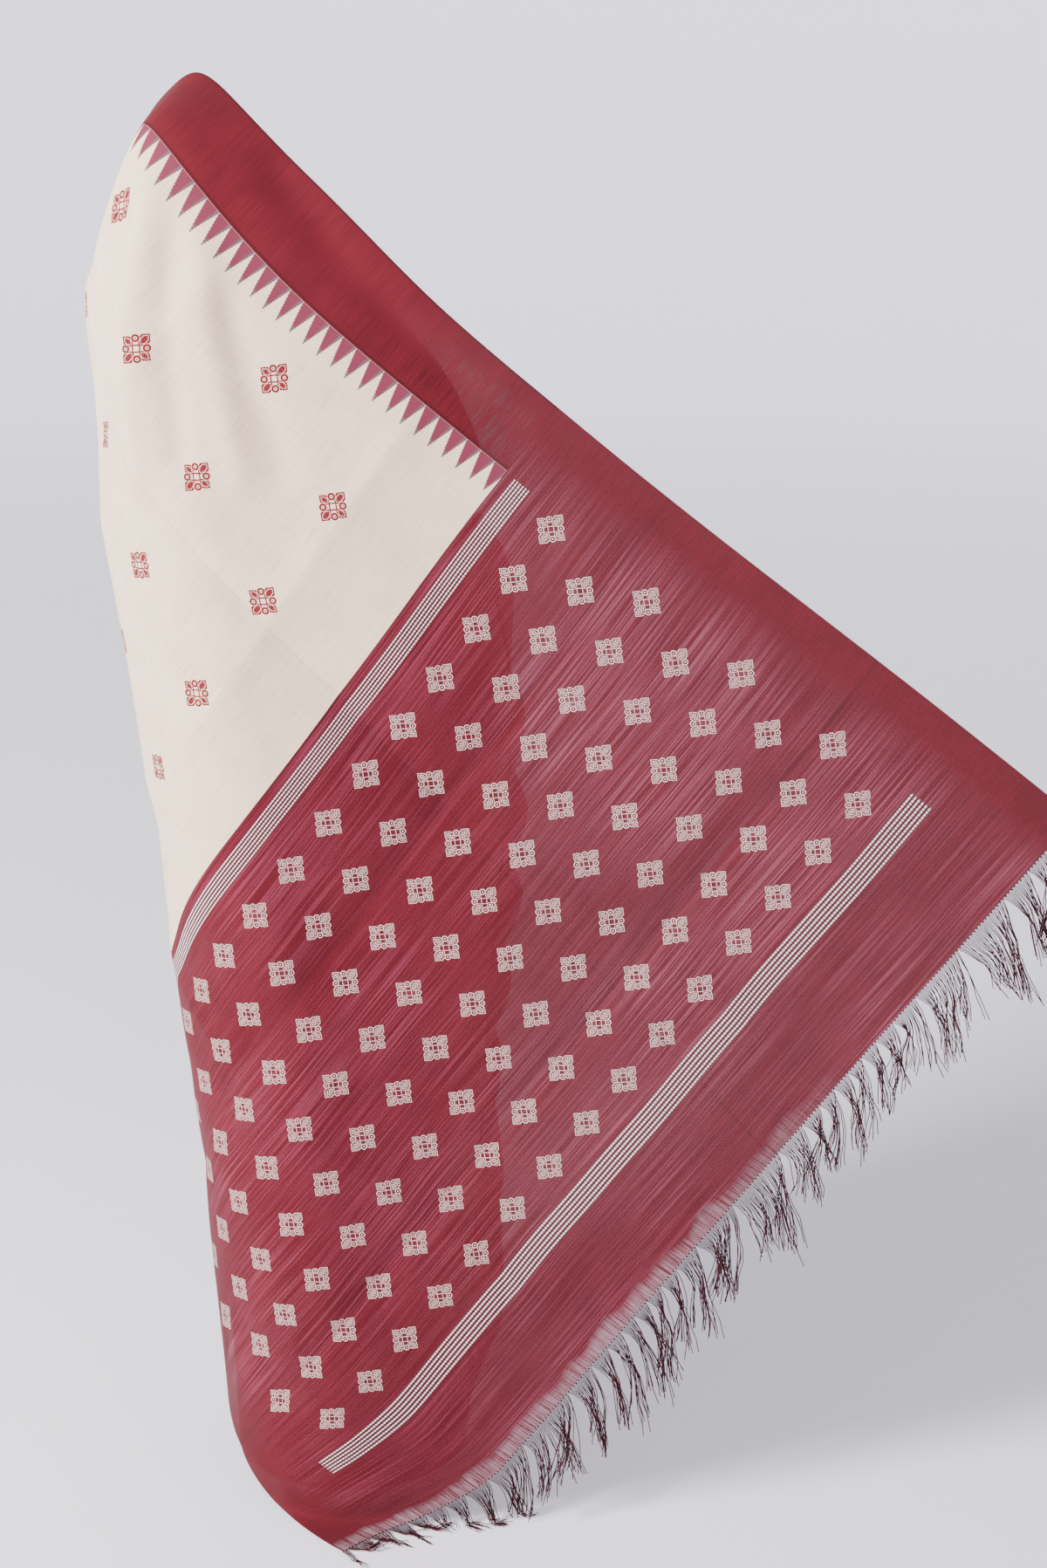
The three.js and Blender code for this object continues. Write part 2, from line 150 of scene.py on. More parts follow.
PRESSED = (
    Fold(0.155, 0.12, 0.150, 0.60, 3.0, 18, 1.0),
    Fold(0.386, 0.10, 0.400, 0.52, 6.0, 30, 1.0),
    Fold(0.626, 0.20, 0.640, 1.02, -4.6, 20, 1.0),
    Fold(0.872, 0.16, 0.884, 1.14, -5.2, 20, 1.0),
    Fold(0.14, 0.306, 0.66, 0.400, -7.0, 26, 1.0),
    Fold(0.70, 0.395, 1.06, 0.385, 2.8, 20, 1.0),
    Fold(0.42, 0.767, 1.04, 0.767, 3.0, 18, 1.0),
)
SOFT = (
    Fold(0.02, 0.12, 0.15, 0.35, -8.0, 20),
    Fold(0.05, 0.11, 0.22, 0.33, 7.0, 18),
    Fold(0.09, 0.11, 0.25, 0.28, -6.5, 16),
    Fold(0.13, 0.11, 0.30, 0.25, 4.6, 15),
    Fold(0.18, 0.12, 0.33, 0.22, -3.4, 15),
    Fold(0.00, 0.24, 0.09, 0.46, 7.5, 24),
    Fold(0.08, 0.46, 0.24, 0.72, -7.5, 32),
    Fold(0.17, 0.40, 0.36, 0.66, 7.0, 34),
    Fold(0.12, 0.02, 0.42, 0.045, -4.0, 17),
    Fold(0.30, 0.16, 0.60, 0.34, 2.0, 40),
    Fold(0.24, 0.60, 0.58, 0.84, 3.4, 30),
    Fold(0.46, 0.52, 0.86, 0.66, -3.0, 44),
    Fold(0.60, 0.03, 1.08, 0.06, -2.2, 30),
    Fold(0.58, 0.14, 1.10, 0.20, 3.2, 46),
    Fold(0.66, 0.30, 1.10, 0.34, -3.6, 52),
    Fold(0.72, 0.50, 1.11, 0.52, 3.4, 50),
    Fold(0.74, 0.72, 1.11, 0.70, -3.2, 48),
    Fold(0.60, 0.86, 1.00, 0.94, 3.4, 40),
    Fold(0.98, 0.10, 1.02, 1.00, 2.2, 36),
    Fold(0.78, 1.02, 1.04, 1.08, -3.0, 26),
)
FIRST_TURN = (
    Fold(0.428, 0.16, 0.444, 1.10, 3.2, 19),
    Fold(0.470, 0.24, 0.478, 1.06, -2.0, 16),
    Fold(0.498, 0.46, 0.506, 1.12, 2.6, 14),
)
SECOND_TURN = (
    Fold(0.052, 0.20, 0.040, 1.04, 2.8, 15),
    Fold(0.108, 0.12, 0.092, 0.90, 3.4, 18),
    Fold(0.160, 0.34, 0.172, 1.12, -1.8, 17),
    Fold(0.226, 0.14, 0.214, 1.08, 3.0, 24),
    Fold(0.300, 0.40, 0.318, 1.12, 2.2, 21),
    Fold(0.392, 0.18, 0.380, 0.96, 2.8, 26),
    Fold(0.468, 0.36, 0.474, 1.10, 2.4, 20),
)


@dataclass(frozen=True)
class Gathers:
    """The diagonal folds of the front stretch, from the right hip up to the left shoulder.

    Args:
        count: how many folds lie across the cloth's width.
        depth: how far they stand out and in, in metres.
        unevenness: how far a fold wanders, as a share of the folds' spacing.
        out: how much more they stand out than in.
    """

    count: int = 9
    depth: float = 0.018
    unevenness: float = 0.30
    out: float = 0.9

    def lift(self, share: np.ndarray, across: np.ndarray) -> np.ndarray:
        """How far the folds lift the cloth.

        Args:
            share: the place along the stretch, 0 at the shoulder ridge and 1 at the right hip.
            across: the place across the cloth, 0 at the upper selvedge and 1 at the lower one.

        Returns:
            The lift, in metres.
        """
        turn = 2 * math.pi
        phase = self.count * across + self.unevenness * np.sin(turn * (1.3 * across + 0.4 * share))
        depth = self.depth * (1.0 + 0.22 * np.sin(turn * (2.3 * across + 0.2)))
        ends = smooth((share - 0.05) / 0.30) * smooth((1.03 - share) / 0.15)
        return depth * ends * smooth(across / 0.05 + 0.3) * (self.out + np.sin(turn * phase))


@dataclass(frozen=True)
class Ellipse:
    """Level sections of a round form, one for each point: centres and half sizes, in metres."""

    x: np.ndarray
    y: np.ndarray
    a: np.ndarray
    b: np.ndarray

    def support(self, angle: np.ndarray) -> tuple[np.ndarray, np.ndarray]:
        """The points whose outward direction has this angle."""
        c, s = np.cos(angle), np.sin(angle)
        reach = np.hypot(self.a * c, self.b * s)
        return self.x + self.a**2 * c / reach, self.y + self.b**2 * s / reach

    def reach(self, angle: np.ndarray) -> np.ndarray:
        """How far the form reaches in this direction."""
        c, s = np.cos(angle), np.sin(angle)
        return self.x * c + self.y * s + np.hypot(self.a * c, self.b * s)


@dataclass(frozen=True)
class Drape:
    """How the saree hangs on a general figure. Sizes in metres, heights above the floor."""

    width: float = 1.150
    body_end: float = 0.485
    end: float = 1.115
    ridge_height: float = 1.516
    ridge_path: float = -0.144
    weft_lean: float = math.radians(39.7)
    wing_slope: float = -0.05
    wing_curve: float = 0.07
    gather_from: float = 0.360
    gather_share: float = 0.4
    lift: float = 0.020
    corner_pull: float = 0.055
    edge_sag: float = 0.030
    floor_bend: float = 0.016
    floor_rest: float = 0.0022
    hem: float = 0.020
    figure_x: float = -0.008
    outer_offset: float = 0.006
    bust_offset: float = 0.012
    front_offset: float = 0.046
    waist_blend: float = 0.060

    def draped_figure(self, height: np.ndarray) -> Ellipse:
        """The section that the front stretch lies on at each height."""
        below = smooth((WAIST_HEIGHT + self.waist_blend - height) / (2 * self.waist_blend))
        return Ellipse(
            np.full_like(height, self.figure_x),
            np.zeros_like(height),
            FIGURE.at("width", height) + self.outer_offset,
            FIGURE.at("depth", height) + mix(self.bust_offset, self.front_offset, below),
        )

    def wrap(
        self, turn: Ellipse, start: np.ndarray, figure: Ellipse, distance: np.ndarray, is_share: bool
    ) -> tuple[np.ndarray, np.ndarray, np.ndarray]:
        """Walks round a turn, along the tangent and round the figure to its right side.

        Args:
            turn: the round that the cloth leaves.
            start: the outward angle where the walk starts.
            figure: the section that the cloth meets.
            distance: how far to walk, in metres, or as a share of the whole way.
            is_share: whether distance is a share.

        Returns:
            The points' x and y, and the outward angle of the tangent.
        """
        low, high = np.full_like(distance, math.pi), np.full_like(distance, 2 * math.pi)
        for _ in range(40):
            middle = (low + high) / 2
            outer = turn.reach(middle) > figure.reach(middle)
            high, low = np.where(outer, middle, high), np.where(outer, low, middle)
        touch = np.minimum((low + high) / 2, start)
        arc = turn.a * (start - touch)
        leave, meet = turn.support(touch), figure.support(touch)
        line = np.hypot(meet[0] - leave[0], meet[1] - leave[1])
        steps = np.linspace(0.0, 1.0, 49)[:, None]
        px, py = figure.support(mix(touch, math.pi, steps))
        rest = np.vstack([np.zeros_like(touch), np.cumsum(np.hypot(np.diff(px, axis=0), np.diff(py, axis=0)), 0)])
        total = arc + line + rest[-1]
        d = distance * total if is_share else distance
        over = np.clip(d - arc - line, 0.0, rest[-1])
        k = np.clip((rest <= over).sum(0) - 1, 0, len(rest) - 2)
        n = np.arange(len(touch))
        t = (over - rest[k, n]) / np.maximum(rest[k + 1, n] - rest[k, n], 1e-9)
        ex, ey = mix(px[k, n], px[k + 1, n], t), mix(py[k, n], py[k + 1, n], t)
        s = np.clip((d - arc) / np.maximum(line, 1e-9), 0.0, 1.0)
        lx, ly = mix(leave[0], meet[0], s), mix(leave[1], meet[1], s)
        ax, ay = turn.support(start - d / turn.a)
        on_arc, on_line = d <= arc, d <= arc + line
        x = np.where(on_arc, ax, np.where(on_line, lx, ex))
        y = np.where(on_arc, ay, np.where(on_line, ly, ey))
        return x, y, touch

    def hang_point(self, height: np.ndarray, path: np.ndarray) -> tuple[np.ndarray, np.ndarray, np.ndarray]:
        """A level cut through the hanging cloth.

        Args:
            height: heights above the floor.
            path: positions along the cut: 0 at the left plane, negative to the back and the wing.

        Returns:
            The points' x, y and outward angle.
        """
        left, rnd, back, reach, turn_r = (
            HANG.at(name, height) for name in ("left", "round", "back", "reach", "turn")
        )
        angle = np.clip(-path / rnd, 0.0, math.pi / 2)
        over = np.maximum(-path - rnd * math.pi / 2, 0.0)
        x = left - rnd + rnd * np.cos(angle) - over
        y = back - rnd + rnd * np.sin(angle) + over * (self.wing_slope + self.wing_curve * over)
        forward = path > 0
        x = np.where(forward, left, x)
        y = np.where(forward, back - rnd - np.minimum(path, reach), y)
        turned = path > reach
        if turned.any():
            h, r = height[turned], turn_r[turned]
            turn = Ellipse(left[turned] - r, (back - rnd - reach)[turned], r, r)
            walk = (path - reach)[turned]
            full = np.full_like(walk, 2 * math.pi)
            wx, wy, touch = self.wrap(turn, full, self.draped_figure(h), walk, False)
            x[turned], y[turned] = wx, wy
            angle[turned] = np.maximum(touch - 2 * math.pi, -walk / r)
        return x, y, angle

    def path_of(self, u: np.ndarray, v: np.ndarray) -> np.ndarray:
        """The path position of points of the cloth, gathered in front."""
        flat = self.ridge_path + math.sin(self.weft_lean) * v - math.cos(self.weft_lean) * u
        return np.where(flat < self.gather_from, flat, mix(self.gather_from, flat, self.gather_share))

    def eased(self, u: np.ndarray, v: np.ndarray) -> tuple[np.ndarray, np.ndarray]:
        """Where the cloth is drawn in at its lower corner and sags at its lower edge."""
        corner = smooth((u - 0.850) / (self.end - 0.850)) * smooth((v - 0.950) / (self.width - 0.950))
        sag = np.exp(-(((u - 0.800) / 0.200) ** 2)) * smooth((v - 1.000) / (self.width - 1.000))
        return u - self.corner_pull * corner, v + self.edge_sag * sag

    def shoulder_lift(self, u: np.ndarray, v: np.ndarray) -> np.ndarray:
        """The squareness of the shoulder under the cloth."""
        return self.lift * np.exp(-(((v - 0.090) / 0.070) ** 2) - (u / 0.100) ** 2)

    def back_points(self, u: np.ndarray, v: np.ndarray) -> np.ndarray:
        """Points of the end that hangs behind the figure, from the ridge to the fringe."""
        ue, ve = self.eased(u, v)
        height = self.ridge_height - math.cos(self.weft_lean) * ve - math.sin(self.weft_lean) * ue
        x, y, _ = self.hang_point(np.maximum(height, 0.0), self.path_of(ue, ve))
        excess = np.maximum(self.floor_bend - height, 0.0)
        bend = self.floor_bend - self.floor_rest
        left = np.exp(-excess / bend)
        lying = height < self.floor_bend
        y = y + np.where(lying, excess - bend * (1 - left), 0.0)
        z = np.where(lying, self.floor_rest + bend * left, height + self.shoulder_lift(u, v))
        return np.stack([x, y, z + FLOOR_Z], -1)

    def front_points(self, w: np.ndarray, v: np.ndarray) -> np.ndarray:
        """Points of the stretch across the front, from the ridge (w 0) to the right hip (w 1)."""
        _, ve = self.eased(np.zeros_like(v), v)
        ridge_height = self.ridge_height - math.cos(self.weft_lean) * ve
        rx, ry, angle = self.hang_point(ridge_height, self.path_of(np.zeros_like(ve), ve))
        hip_height = mix(WAIST_HEIGHT, self.hem, v / self.width)
        height = mix(ridge_height, hip_height, w)
        opened = smooth((v - 0.040) / 0.260)
        radius = mix(0.003, HANG.at("turn", ridge_height), opened)
        turn = Ellipse(rx - radius * np.cos(angle), ry - radius * np.sin(angle), radius, radius)
        x, y, _ = self.wrap(turn, 2 * math.pi + angle, self.draped_figure(height), w, True)
        z = height + self.shoulder_lift(np.zeros_like(v), v) * (1 - smooth(w / 0.25))
        return np.stack([x, y, z + FLOOR_Z], -1)


@dataclass(frozen=True)
class Grid:
    """Rows of points across the cloth's width, columns along its length.

    Args:
        points: rows by columns by 3.
        u, v: each point's place in the cloth, in metres.
        closed: whether the last column joins the first.
    """

    points: np.ndarray
    u: np.ndarray
    v: np.ndarray
    closed: bool = False

    def normals(self) -> np.ndarray:
        """The outward directions at the points."""
        p = self.points
        if self.closed:
            along = np.roll(p, -1, 1) - np.roll(p, 1, 1)
        else:
            wide = np.concatenate([p[:, :1], p, p[:, -1:]], 1)
            along = wide[:, 2:] - wide[:, :-2]
        tall = np.concatenate([p[:1], p, p[-1:]], 0)
        n = np.cross(tall[2:] - tall[:-2], along)
        return n / np.maximum(np.linalg.norm(n, axis=-1, keepdims=True), 1e-12)

    def folded(self, folds: Sequence[Fold]) -> "Grid":
        """The same cloth with these folds in it."""
        lift = sum((f.lift(self.u, self.v) for f in folds), np.zeros_like(self.u))
        return Grid(self.points + self.normals() * lift[..., None], self.u, self.v, self.closed)

    def columns(self, start: int, stop: int) -> "Grid":
        """A stretch of the cloth from one column to another, both included."""
        cut = slice(start, stop + 1)
        return Grid(self.points[:, cut], self.u[:, cut], self.v[:, cut])


def linked(name: str, data: bpy.types.ID) -> bpy.types.Object:
    """Puts data in the scene as an object."""
    obj = bpy.data.objects.new(name, data)
    bpy.context.scene.collection.objects.link(obj)
    return obj


def cloth_object(name: str, grid: Grid, thickness: float, material: bpy.types.Material) -> bpy.types.Object:
    """Makes a piece of cloth from its grid, with the cloth's own measure as its UV map.

    Args:
        name: the piece's name.
        grid: the cloth's middle surface.
        thickness: the cloth's thickness, in metres.
        material: its finish.

    Returns:
        The new object.
    """
    rows, cols = grid.u.shape
    index = np.arange(rows * cols).reshape(rows, cols)
    if grid.closed:
        index = np.concatenate([index, index[:, :1]], 1)
    quads = np.stack([index[:-1, :-1], index[1:, :-1], index[1:, 1:], index[:-1, 1:]], -1).reshape(-1, 4)
    mesh = bpy.data.meshes.new(name)
    mesh.from_pydata(grid.points.reshape(-1, 3).tolist(), [], quads.tolist())
    uv = np.stack([grid.u, grid.v], -1).reshape(-1, 2)[quads.ravel()]
    if grid.closed:
        step = grid.u[0, 1] - grid.u[0, 0]
        whole = cols * step
        last = (np.arange(len(quads)) % cols == cols - 1).repeat(4) & (uv[:, 0] < whole / 2 + grid.u[0, 0])
        uv[last, 0] += whole
    layer = mesh.uv_layers.new(name="cloth")
    layer.data.foreach_set("uv", uv.astype(np.float32).ravel())
    mesh.polygons.foreach_set("use_smooth", [True] * len(mesh.polygons))
    ends = np.empty(len(mesh.edges) * 2, dtype=np.int32)
    mesh.edges.foreach_get("vertices", ends)
    row, col = np.divmod(ends.reshape(-1, 2), cols)
    rim = (row == 0).all(1) | (row == rows - 1).all(1)
    if not grid.closed:
        rim |= (col == 0).all(1) | (col == cols - 1).all(1)
    mesh.attributes.new("sharp_edge", "BOOLEAN", "EDGE").data.foreach_set("value", rim)
    mesh.materials.append(material)
    obj = linked(name, mesh)
    wall = obj.modifiers.new("cloth thickness", "SOLIDIFY")
    wall.thickness = thickness
    wall.offset = 0.0
    return obj


@dataclass(frozen=True)
class Steps:
    """How finely the cloth is worked: columns along each stretch and rows across the width."""

    front: int = 110
    shoulder: int = 84
    field: int = 110
    width: int = 176
    skirt: int = 220
    levels: int = 66
    per_pleat: int = 20
    coarse_column: float = 0.0346


def shoulder_cloth(drape: Drape, steps: Steps) -> Grid:
    """The cloth from the right hip across the front, over the shoulder and out to the fringed end."""
    rows = np.linspace(0.0, drape.width, steps.width + 1)
    parts = []
    w = np.linspace(1.0, 0.0, steps.front + 1)[:-1]
    wg, vg = np.meshgrid(w, rows)
    parts.append(drape.front_points(wg.ravel(), vg.ravel()).reshape(*wg.shape, 3))
    fall = np.linspace(0.0, drape.body_end, steps.shoulder + 1)
    field = np.linspace(drape.body_end, drape.end, steps.field + 1)[1:]
    ug, vb = np.meshgrid(np.concatenate([fall, field]), rows)
    parts.append(drape.back_points(ug.ravel(), vb.ravel()).reshape(*ug.shape, 3))
    points = np.concatenate(parts, 1)
    ridge = steps.front
    step = drape.body_end / steps.shoulder
    reach = round(3 * steps.coarse_column / step)
    for _ in range(round((steps.coarse_column / step) ** 2)):
        i = slice(ridge - reach, ridge + reach + 1)
        sides = points[:, ridge - reach - 1:ridge + reach] + points[:, ridge - reach + 1:ridge + reach + 2]
        points[:, i] = 0.5 * points[:, i] + 0.25 * sides
    lengths = np.linalg.norm(np.diff(points[:, :ridge + 1], axis=1), axis=-1)
    run = np.cumsum(lengths[:, ::-1], 1)[:, ::-1].mean(0)
    front_u = np.tile(-run, (len(rows), 1))
    grid = Grid(points, np.concatenate([front_u, ug], 1), np.concatenate([vg, vb], 1))
    share = np.clip(1.0 - np.arange(grid.u.shape[1]) / ridge, 0.0, 1.0)[None]
    lift = Gathers().lift(share, grid.v / drape.width)
    return Grid(points + grid.normals() * lift[..., None], grid.u, grid.v)


def skirt_turn(drape: Drape, offset: float, steps: Steps, closed: bool) -> Grid:
    """A turn of the cloth round the hips. An open one starts at the pleats and ends at the right side."""
    count = steps.skirt if closed else steps.skirt + 1
    t = np.linspace(0.0, 1.0, steps.levels + 1)
    height = mix(WAIST_HEIGHT, drape.hem, t)
    a, b = FIGURE.at("width", height) + offset, FIGURE.at("depth", height) + offset
    if closed:
        start, end = np.zeros_like(t), np.full_like(t, 2 * math.pi)
        share = np.arange(count) / steps.skirt
    else:
        start = -np.arccos((PLEATS.spread(t) / 2 + PLEATS.edge_gap) / a)
        end = math.pi - 0.0003 / b
        share = np.linspace(0.0, 1.0, count)
    angle = mix(start[:, None], end[:, None], share[None])
    x = drape.figure_x + a[:, None] * np.cos(angle)
    y = b[:, None] * np.sin(angle)
    z = np.tile((height + FLOOR_Z)[:, None], (1, count))
    girth = (end - start).mean() * float((a + b).mean()) / 2
    u = np.tile(share * girth, (len(t), 1))
    v = np.tile((0.05 + t * (WAIST_HEIGHT - drape.hem))[:, None], (1, count))
    return Grid(np.stack([x, y, z], -1), u, v, closed)


@dataclass(frozen=True)
class Pleats:
    """The pressed pleats in front. Sizes in metres."""

    count: int = 7
    seat: float = 0.0018
    edge_gap: float = 0.002
    waist_spread: float = 0.096
    hem_spread: float = 0.190
    waist_depth: float = 0.009
    hem_depth: float = 0.016
    lean: float = 0.22

    def spread(self, t: np.ndarray) -> np.ndarray:
        """The pleats' whole width at a share of the way down."""
        return mix(self.waist_spread, self.hem_spread, t)

    def grid(self, drape: Drape, steps: Steps) -> Grid:
        """The pleated cloth."""
        count = self.count * steps.per_pleat
        share = np.linspace(0.0, 1.0, count + 1)[None]
        t = np.linspace(0.0, 1.0, steps.levels + 1)[:, None]
        height = mix(WAIST_HEIGHT, drape.hem, t)
        phase = 2 * math.pi * share * self.count
        spread = self.spread(t)
        across = spread * (share - 0.5) - spread / self.count * self.lean * np.sin(phase)
        seat = mix(self.seat, drape.outer_offset, smooth(share))
        half_width = FIGURE.at("width", height)
        surface = FIGURE.at("depth", height) * np.sqrt(1 - (across / half_width) ** 2) + seat
        y = -surface - mix(self.waist_depth, self.hem_depth, t) * (1 - np.cos(phase)) / 2
        x = drape.figure_x + across
        z = np.broadcast_to(height + FLOOR_Z, x.shape)
        points = np.stack([x, y, z], -1)
        run = np.linalg.norm(np.diff(points, axis=1), axis=-1).mean(0)
        u = np.tile(np.concatenate([[0.0], np.cumsum(run)]), (len(t), 1))
        v = np.broadcast_to(0.05 + t * (WAIST_HEIGHT - drape.hem), x.shape)
        return Grid(points, u, v)


PLEATS = Pleats()


def worked(operation: str, reflected: bool = False) -> Callable[["Wire", "Value"], "Wire"]:
    """Makes a wire's operator, which adds this sum to the wire's tree."""
    def act(wire: "Wire", other: "Value") -> "Wire":
        values = (other, wire) if reflected else (wire, other)
        return wire.tree.math(operation, *values)
    return act


class Wire:
    """A node's output that can be worked with in plain sums."""

    def __init__(self, tree: "Tree", socket: bpy.types.NodeSocket) -> None:
        self.tree = tree
        self.socket = socket

    __add__, __radd__ = worked("ADD"), worked("ADD", True)
    __sub__, __rsub__ = worked("SUBTRACT"), worked("SUBTRACT", True)
    __mul__, __rmul__ = worked("MULTIPLY"), worked("MULTIPLY", True)
    __truediv__, __pow__ = worked("DIVIDE"), worked("POWER")
    __gt__, __lt__ = worked("GREATER_THAN"), worked("LESS_THAN")

    def __abs__(self) -> "Wire":
        return self.tree.math("ABSOLUTE", self)

    def fract(self) -> "Wire":
        """What is left over whole steps."""
        return self.tree.math("FRACT", self)

    def rounded(self) -> "Wire":
        """The nearest whole number."""
        return self.tree.math("ROUND", self)

    def ramp(self, low: float, high: float) -> "Wire":
        """A straight rise from 0 at low to 1 at high, or a fall where high is the lower one."""
        k = 1.0 / (high - low)
        return self.tree.math("MULTIPLY_ADD", self, k, -low * k, clamp=True)

    def within(self, low: float, high: float, soft: float) -> "Wire":
        """1 between low and high and 0 outside, with soft edges."""
        return self.ramp(low - soft / 2, low + soft / 2) * self.ramp(high + soft / 2, high - soft / 2)


Value = Union[Wire, float]
Colour = tuple[float, float, float]
Settings = Optional[dict[str, Any]]
Inputs = Optional[dict[Union[int, str], Any]]


def srgb(red: int, green: int, blue: int) -> Colour:
    """A colour as a dyer's chart gives it, 0 to 255, turned to light values."""
    return tuple((c / 255 / 12.92) if c <= 10 else ((c / 255 + 0.055) / 1.055) ** 2.4 for c in (red, green, blue))


class Tree:
    """A node tree, and the ways nodes are put in it."""

    def __init__(self, tree: bpy.types.NodeTree) -> None:
        self.tree = tree

    def node(self, kind: str, settings: Settings = None, inputs: Inputs = None) -> bpy.types.Node:
        """Adds one node.

        Args:
            kind: the node's type.
            settings: its own settings, which are set first.
            inputs: the values or wires of its sockets, by name or number.

        Returns:
            The node.
        """
        made = self.tree.nodes.new(kind)
        for key, value in (settings or {}).items():
            setattr(made, key, value)
        for key, value in (inputs or {}).items():
            if isinstance(value, Wire):
                self.tree.links.new(value.socket, made.inputs[key])
            else:
                made.inputs[key].default_value = value
        return made

    def wire(self, kind: str, settings: Settings = None, inputs: Inputs = None,
             output: Union[int, str] = 0) -> Wire:
        """Adds one node and gives one of its outputs."""
        return Wire(self, self.node(kind, settings, inputs).outputs[output])

    def math(self, operation: str, *values: Value, clamp: bool = False) -> Wire:
        """One sum on values."""
        settings = {"operation": operation, "use_clamp": clamp}
        return self.wire("ShaderNodeMath", settings, dict(enumerate(values)))

    def vector(self, operation: str, *values: Any) -> Wire:
        """One sum on vectors."""
        return self.wire("ShaderNodeVectorMath", {"operation": operation}, dict(enumerate(values)))

    def scaled(self, vector: Wire, size: Value) -> Wire:
        """The vector, made longer or shorter."""
        return self.wire("ShaderNodeVectorMath", {"operation": "SCALE"}, {0: vector, "Scale": size})


class Finish(Tree):
    """A material's node tree.

    Args:
        name: the material's name.
    """

    def __init__(self, name: str) -> None:
        self.material = bpy.data.materials.new(name)
        self.material.use_nodes = True
        super().__init__(self.material.node_tree)
        self.tree.nodes.clear()

    def most(self, *values: Value) -> Wire:
        """The largest of the values."""
        found = values[0]
        for value in values[1:]:
            found = self.math("MAXIMUM", found, value)
        return found

    def blend(self, first: Union[Wire, Colour], second: Union[Wire, Colour], share: Value) -> Wire:
        """The colour between two colours."""
        colours = {k: c if isinstance(c, Wire) else (*c, 1.0) for k, c in ((6, first), (7, second))}
        return self.wire("ShaderNodeMix", {"data_type": "RGBA"}, {0: share, **colours}, 2)

    def parts(self, spot: Wire) -> tuple[Wire, Wire]:
        """A place's first two measures."""
        made = self.node("ShaderNodeSeparateXYZ", None, {0: spot})
        return Wire(self, made.outputs[0]), Wire(self, made.outputs[1])

    def place(self) -> tuple[Wire, Wire]:
        """The cloth's own measure, u along its length and v across its width, in metres."""
        return self.parts(self.wire("ShaderNodeUVMap", {"uv_map": "cloth"}))

    def spot(self) -> Wire:
        """The place in the object's own space, in metres."""
        return self.wire("ShaderNodeTexCoord", output="Object")

    def noise(self, u: Value, v: Value, scale_u: float, scale_v: float, detail: float, turn: float = 0.0) -> Wire:
        """Uneven tone from 0 to 1, with its own scale along and across the cloth."""
        spot = self.wire("ShaderNodeCombineXYZ", None, {0: u * scale_u, 1: v * scale_v, 2: turn})
        return self.wire("ShaderNodeTexNoise", None, {
            "Vector": spot, "Scale": 1.0, "Detail": detail, "Roughness": 0.55})

    def surface(self, colour: Wire, roughness: Value, height: Wire, depth: float,
                alpha: Optional[Wire] = None, sheen: float = 0.0, glow: Optional[Wire] = None) -> bpy.types.Material:
        """Ends the tree in a cloth shader.

        Args:
            colour: the colour over the cloth.
            roughness: how matt it is.
            height: the threads' relief, 0 to 1.
            depth: how deep that relief is, in metres.
            alpha: how closely the cloth covers, or nothing where it covers fully.
            sheen: the soft light at its edges.
            glow: its own light, for the studio's floor.

        Returns:
            The material.
        """
        bump = self.wire("ShaderNodeBump", None, {"Height": height, "Strength": 1.0, "Distance": depth})
        inputs = {"Base Color": colour, "Roughness": roughness, "Normal": bump,
                  "Sheen Weight": sheen, "Sheen Roughness": 0.5, "Specular IOR Level": 0.12}
        if alpha is not None:
            inputs["Alpha"] = alpha
        if glow is not None:
            inputs["Emission Color"], inputs["Emission Strength"] = glow, 1.0
        self.node("ShaderNodeOutputMaterial", None, {0: self.wire("ShaderNodeBsdfPrincipled", None, inputs)})
        return self.material


@dataclass(frozen=True)
class Lattice:
    """Where motifs are woven: columns along the length, with every other column moved across.

    Args:
        u0, v0: one motif's place, in metres.
        step_u: from one column to the next.
        step_v: from one motif to the next in a column.
        shift: how far odd columns are moved across.
        u_range, v_range: between which places motifs have their middles.
    """

    u0: float
    v0: float
    step_u: float
    step_v: float
    shift: float
    u_range: tuple[float, float]
    v_range: tuple[float, float]

    def local(self, finish: Finish, u: Wire, v: Wire) -> tuple[Wire, Wire, Wire]:
        """Each place's distance from its nearest motif's middle, in millimetres, and whether there is one."""
        column = ((u - self.u0) / self.step_u).rounded()
        odd = finish.math("FLOORED_MODULO", column, 2.0)
        along = v - self.v0 - odd * self.shift
        row = (along / self.step_v).rounded() * self.step_v
        across = u - self.u0 - column * self.step_u
        middle_u, middle_v = u - across, v - along + row
        there = (middle_u > self.u_range[0]) * (middle_u < self.u_range[1])
        there = there * (middle_v > self.v_range[0]) * (middle_v < self.v_range[1])
        return abs(across) * 1000.0, abs(along - row) * 1000.0, there


